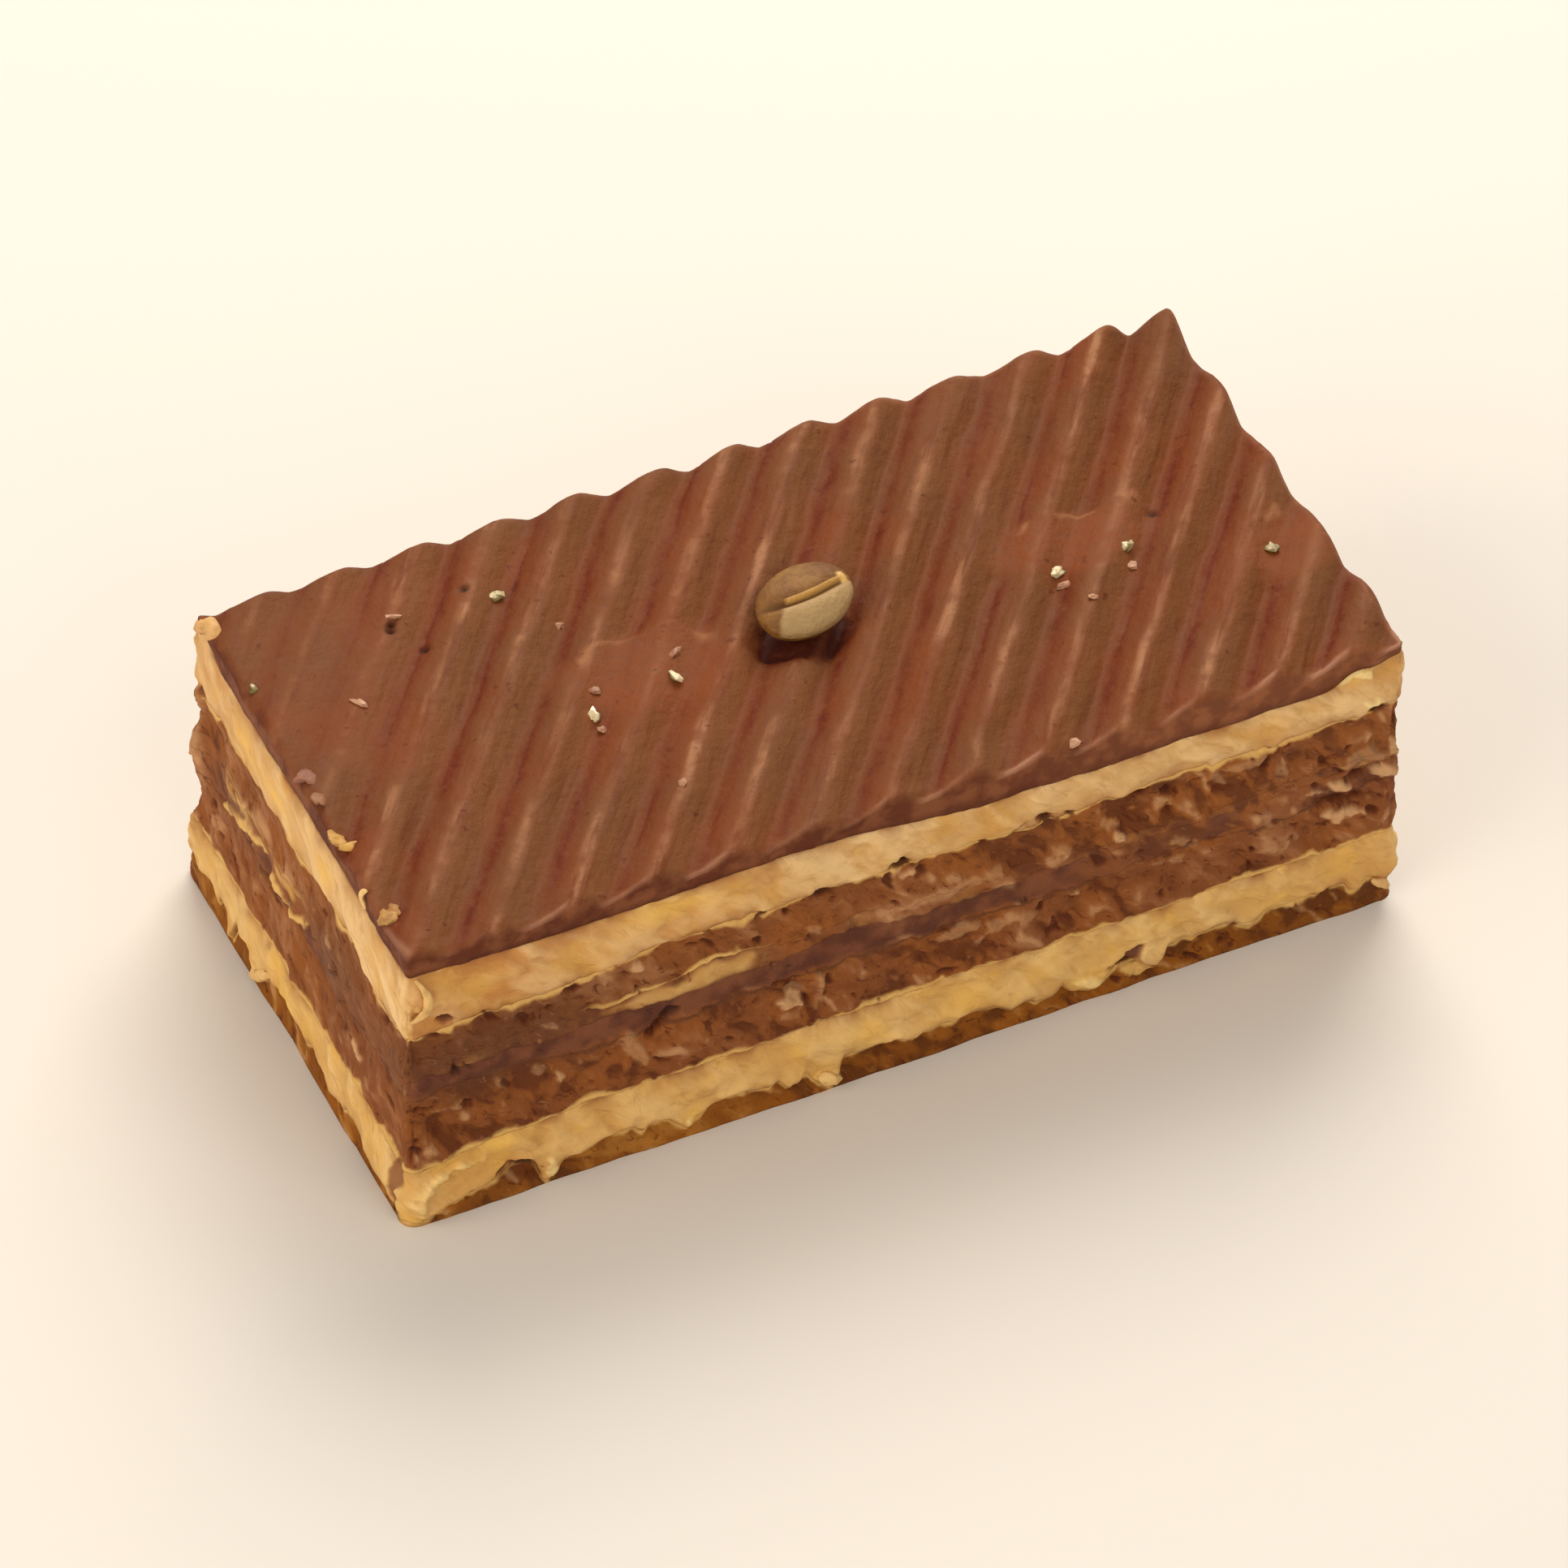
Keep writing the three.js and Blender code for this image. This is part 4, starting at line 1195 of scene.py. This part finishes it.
# the glaze's closed surface: the grid over the top, a skirt down the cut side, and a pole under it
def makeGlaze():
    x, y, gap, nx, ny = glazeGrid()
    deep, across = x.shape
    z, marks = combHeight(x, y)
    rim = np.clip(1 - gap / glaze["edge"], 0, 1)
    burr = cutBurr(x, y, gap, marks.pop("phase"))
    z = z - glaze["edgeDrop"] * rim ** 2.2 + glaze["lip"] * burr
    stray = cut["stray"] * lumps(x, y, z, cut["strayReach"]) * np.clip(1 - gap / 3, 0, 1) ** 2
    x, y = x + stray * nx, y + stray * ny
    loop = edgeLoop(deep, across)
    ex, ey, ez, nx, ny = [values.ravel()[loop] for values in (x, y, z, nx, ny)]
    rows, count = glaze["skirtRows"], len(loop)
    share = np.linspace(0, 1, rows)[1:, None]
    foot = topHeight(len(layers) - 1, ex, ey)
    wallZ = ez + (np.minimum(foot, ez - 0.1) - ez) * share
    out = 0.15 * crumble(ex[None] * 0.7, ey[None] * 0.7, wallZ, 1.8, 4) - 0.06 * np.abs(2 * share - 1) ** 6
    wall = np.stack([ex + nx * out, ey + ny * out, wallZ], -1)
    under = wall[-1].copy()
    under[:, :2] -= cut["inset"] * np.stack([nx, ny], 1)
    top = np.stack([x, y, z], -1).reshape(-1, 3)
    points = np.concatenate([top, wall.reshape(-1, 3), under, [[0, 0, foot.mean()]]])
    a = (np.arange(deep - 1)[:, None] * across + np.arange(across - 1)).ravel()
    rings = np.concatenate([loop, len(top) + np.arange(rows * count)]).reshape(rows + 1, count)
    after = np.roll(rings, -1, 1)
    skirt = np.stack([rings[1:], after[1:], after[:-1], rings[:-1]], -1).reshape(-1, 4)
    pole = np.stack([after[-1], rings[-1], np.full(count, len(points) - 1)], 1)
    faces = [np.stack([a, a + 1, a + across + 1, a + across], 1), skirt, pole]
    tail = np.zeros(rows * count + 1)
    # the burr is also painted pale in the finish, as a highlight along the cut
    marks["lip"] = burr
    marks = {name: np.append(values.ravel(), tail) for name, values in marks.items()}
    marks["side"] = np.append((rim ** 1.5).ravel(), tail + 1)
    marks["foot"] = np.concatenate([np.zeros(len(top)), np.repeat(np.append(share, 1.0), count), [1.0]])
    makePiece("glazeDetail", points, faces, glazeFinish(), marks, "glaze")


makeGlaze()


# Coffee bean

def beanFinish():
    start, close = startFinish("paleBean")
    place = start.place()
    broad = start.cloud(place, 4.0, 3.0)
    fine = start.cloud(place, 0.7, 4.0, 0.6)
    colour = start.mix(broad.ease(0.35, 0.65), (114, 71, 26), (138, 94, 38))
    colour = start.paint(
        colour,
        (fine.ease(0.48, 0.7) * 0.5, (98, 58, 24)),
        # crease: painted shade
        (start.mark("crease") * 0.8, (84, 48, 16)),
        # near half painted paler as the lit half
        (start.mark("near") * (0.65 + fine * 0.5), (172, 140, 92)),
        (start.mark("silver"), (200, 152, 80)),
        (start.mark("knob"), (230, 186, 112)),
    )
    relief = fine.bump(0.2)
    return close(Base_Color=colour, Roughness=0.48 + fine * 0.2, Normal=relief, Specular_IOR_Level=0.3)


# the bean: a ball with a round belly below and a flatter face above, split by a crease that curls at its left
# end; a thin skin stands up along the crease's near side
def makeBean():
    points = unitBall(bean["rounds"], bean["rings"])
    x, y, z = points.T
    upper = np.clip(z, 0, 1)
    side = bean["wide"] * y - bean["aside"] - bean["bend"] * np.clip(bean["straight"] - x, 0, 2) ** 2
    ends = np.clip(1 - x ** 6, 0, 1)
    trench = hump(side + 0.1, bean["creaseBreadth"]) * ends
    silver = np.exp(-((side - 0.22) / 0.22) ** 4) * ease(x, -0.5, -0.4) * ends * (z > 0)
    knob = np.exp(-((x - 0.8) / 0.08) ** 4 - ((side - 0.3) / 0.5) ** 4) * (z > 0)
    silver = np.maximum(silver, knob)
    puff = 0.25 * hump(np.abs(side) - 1.3, 0.9) * upper
    face = z * bean["face"] + puff - bean["crease"] * trench * upper ** 0.5 + 0.32 * silver * upper
    height = np.where(z > 0, face, z * bean["belly"])
    rough = 1 + 0.012 * crumble(x * 5, y * 5, z * 5, 1.6)
    lx, ly, lz = x * bean["long"] * rough, y * bean["wide"] * rough, height * rough
    a, b = math.radians(bean["heading"]), math.radians(bean["lean"])
    tx, ty = turned(lx, ly, a)
    ty, tz = turned(ty, lz, b)
    placed = np.stack([tx, ty, tz], 1) + bean["centre"]
    # the near half, which the finish paints paler as the lit half
    near = ease(x - 0.6 * y + 0.1 * lumps(y * 5, x, z, 0.8), -0.72, -0.56) * (z > -0.15)
    near = near * ease(-side, 0.05, 0.4)
    marks = {"crease": trench * (z > 0), "silver": silver, "near": near, "knob": knob}
    faces = closedRings(bean["rings"], bean["rounds"])
    makePiece("coffeeBeanDetail", placed, faces, beanFinish(), marks, "coffee_bean")


makeBean()


# Strands: curls of cream that stand off the cut sides

# side, path of (place along the side, height, how proud), half width, half thickness, tone from dark to pale
strands = [
    ("front", [(-49.2, 31.2, 0.0), (-48.4, 29.8, 0.3), (-48.2, 28.2, 0.4), (-48.8, 26.8, 0.3),
               (-49.8, 26.2, 0.2)], 0.42, 0.3, 0.7),
    ("front", [(-9.4, 2.6, 0.2), (-8.2, 1.9, 0.6), (-7.0, 0.9, 0.4)], 0.7, 0.4, 0.9),
    ("front", [(48.4, 3.6, 0.3), (50.2, 1.8, 0.4)], 0.5, 0.3, 0.6),
    ("left", [(5.6, 4.0, 0.0), (7.6, 2.2, 0.5), (9.4, 0.6, 0.5)], 0.6, 0.35, 0.8),
    ("left", [(-15.2, 32.2, 0.3), (-14.6, 33.6, 0.5), (-15.4, 34.6, 0.2)], 0.35, 0.25, 1.0),
    ("left", [(24.3, 31.9, -0.5), (23.4, 33.0, -0.6), (22.2, 33.5, -0.7), (20.6, 33.3, -0.8)],
     0.9, 1.0, 0.35),
]


# nearest point of the cut sides to each place, with the outward direction there
def onSide(places):
    nearest = [np.argmin(((sideGrid[:, :3] - place) ** 2).sum(1)) for place in places]
    found = sideGrid[nearest]
    return found[:, :3], np.column_stack([found[:, 3:], np.zeros(len(found))])


# a flat round section carried along a smoothed path, fuller in its middle than at its ends
def strandPoints(side, path, wide, thick, stations, sides):
    path = np.array(path, float)
    half = cut["width"] / 2 if side == "front" else cut["length"] / 2
    edge = np.full(len(path), -half - 0.4)
    flat = np.stack([path[:, 0], edge, path[:, 1]] if side == "front" else [edge, path[:, 0], path[:, 1]], 1)
    spots, normals = onSide(flat)
    spots = flat + ((spots - flat) * normals).sum(1, keepdims=True) * normals + path[:, 2:] * normals
    t = np.linspace(0, 1, stations)
    spine = np.stack([np.interp(t, np.linspace(0, 1, len(path)), spots[:, n]) for n in range(3)], 1)
    for _ in range(12):
        spine[1:-1] = (spine[:-2] + 2 * spine[1:-1] + spine[2:]) / 4
    along = np.gradient(spine, axis=0)
    along /= np.linalg.norm(along, axis=1, keepdims=True)
    across = np.cross(normals.mean(0), along)
    across /= np.linalg.norm(across, axis=1, keepdims=True)
    out = np.cross(along, across)
    turn = np.linspace(0, 2 * math.pi, sides, endpoint=False)
    full = fullness(t) ** 0.6
    rough = 1 + 0.45 * lumps(spine[:, :1] + np.cos(turn), spine[:, 1:2] + np.sin(turn), spine[:, 2:], 0.8)
    reach = (full[:, None] * rough)[..., None]
    ring = wide * np.cos(turn)[:, None] * across[:, None] + thick * np.sin(turn)[:, None] * out[:, None]
    return np.concatenate([(spine[:, None] + reach * ring).reshape(-1, 3), spine[[0, -1]]])


def makeStrands(name, finish, stations=26, sides=12):
    points = np.concatenate([strandPoints(*strand[:4], stations, sides) for strand in strands])
    tone = np.repeat([strand[4] for strand in strands], stations * sides + 2)
    makePiece(name, points, manyRings(len(strands), stations, sides), finish, {"tone": tone})


def bitFinish(name, low, high, rough=0.55):
    start, close = startFinish(name)
    fine = start.cloud(start.place(), 0.7, 3.0)
    colour = start.mix(start.mark("tone"), low, high)
    colour = start.mix(fine.ease(0.45, 0.75) * 0.5, colour, [int(v * 0.8) for v in low])
    return close(Base_Color=colour, Roughness=rough + fine * 0.15, Normal=fine.bump(0.15))


makeStrands("creamStrands", bitFinish("creamBit", (196, 140, 82), (232, 190, 116)))


# Shards: crumbs on the glaze and gold flakes

shards = {
    # cream crumbs along the left edge: x, y, half sizes, tone
    "cream": [(-49.0, 0.4, 1.2, 0.9, 0.22, 0.0), (-49.2, -2.9, 0.8, 0.9, 0.25, 0.1),
              (-49.3, -7.6, 1.0, 1.0, 0.35, 0.8), (-48.6, -8.6, 1.1, 0.6, 0.28, 0.9),
              (-49.3, -18.3, 1.0, 0.9, 0.32, 0.6), (-48.4, -17.7, 0.9, 0.6, 0.25, 0.4)],
    # gold flakes: x, y, brightness of the painted glint, share of the size below
    "gold": [(-22, -2.9, 1.0, 0.9), (-13.3, -1.6, 1.0, 0.9), (24.8, -3.1, 1.0, 0.85), (32, -2.9, 0.2, 0.75),
             (44.3, -8.6, 0.25, 0.8), (-23.7, 15.2, 0.0, 0.9), (-48.9, 13.0, 0.0, 0.62)],
    "goldSize": (0.9, 0.76, 0.48),
    # small torn crumbs of glaze: x, y, half length, half breadth
    "glaze": [(-20.7, -0.1, 0.65, 0.455), (-12.1, 1.2, 0.65, 0.39), (-21.9, -4.6, 0.715, 0.52),
              (-19.9, 9.5, 0.585, 0.39), (24.8, -4.7, 0.78, 0.52), (31.7, -4.9, 0.65, 0.455),
              (25.9, -8.4, 0.52, 0.39), (-18.7, -14.6, 0.455, 0.455), (-41.0, 7.1, 0.91, 0.39),
              (16.5, -23.4, 0.65, 0.52), (-33.6, 15.8, 0.91, 0.325)],
    "glazeThick": 0.3,
}


# joined shards: a rough ball with few sides for each place, its half sizes along X, along Y and upwards
def makeShards(name, spots, sizes, tones, finish, seed, rough=0.6, rounds=7, rings=3, smooth=False):
    draw = np.random.default_rng(seed)
    ball = unitBall(rounds, rings)
    places = np.column_stack([spots, combHeight(spots[:, 0], spots[:, 1])[0] + 0.3 * sizes[:, 2]])
    bx, by, bz = np.moveaxis(ball[None] + draw.uniform(-500, 500, (len(places), 1, 3)), -1, 0)
    swell = 1 + rough * lumps(bx, by, bz, 0.7)
    spin, tip = draw.normal(0, 0.5, (2, len(places), 1))
    a, b, c = [ball[None, :, n] * swell * sizes[:, n:n + 1] for n in range(3)]
    a, b = turned(a, b, spin)
    a, c = turned(a, c, tip)
    points = (places[:, None] + np.stack([a, b, c], -1)).reshape(-1, 3)
    marks = {"tone": np.repeat(tones, len(ball)), "rise": np.tile(ball[:, 2], len(places))}
    makePiece(name, points, manyRings(len(places), rings, rounds), finish, marks, smooth=smooth)


def goldFinish():
    start, close = startFinish("goldLeaf")
    fine = start.cloud(start.place(), 0.6, 2.0)
    # brighter on upper facets and on brighter flakes: painted glints, with olive lower sides as painted shade
    bright = start.mark("rise") * 0.7 + fine * 0.9 + start.mark("tone") * 0.8
    colour = start.mix(bright.ease(0.75, 1.75), (112, 92, 40), (255, 240, 196))
    return close(Base_Color=colour, Metallic=0.25, Roughness=0.3 + fine * 0.1)


def makeTopping():
    edge, gold, torn = [np.array(shards[name], float) for name in ("cream", "gold", "glaze")]
    goldSizes = gold[:, 3:] * shards["goldSize"]
    tornSizes = np.column_stack([torn[:, 2:4], np.full(len(torn), shards["glazeThick"])])
    # the glaze crumbs are painted paler than the glaze, as highlights on them
    tornFinish = bitFinish("glazeCrumbHighlight", (150, 96, 66), (196, 146, 110), 0.4)
    edgeFinish = bitFinish("edgeCrumb", (138, 84, 56), (206, 156, 68))
    tornTones = np.linspace(0, 1, len(torn))
    makeShards("edgeCrumbs", edge[:, :2], edge[:, 2:5], edge[:, 5], edgeFinish,
               seed=31, rough=0.65, rounds=18, rings=9, smooth=True)
    makeShards("goldFlakes", gold[:, :2], goldSizes, gold[:, 2], goldFinish(),
               seed=33, rough=0.8, rounds=8, rings=4)
    makeShards("glazeCrumbs", torn[:, :2], tornSizes, tornTones, tornFinish, seed=34)


makeTopping()
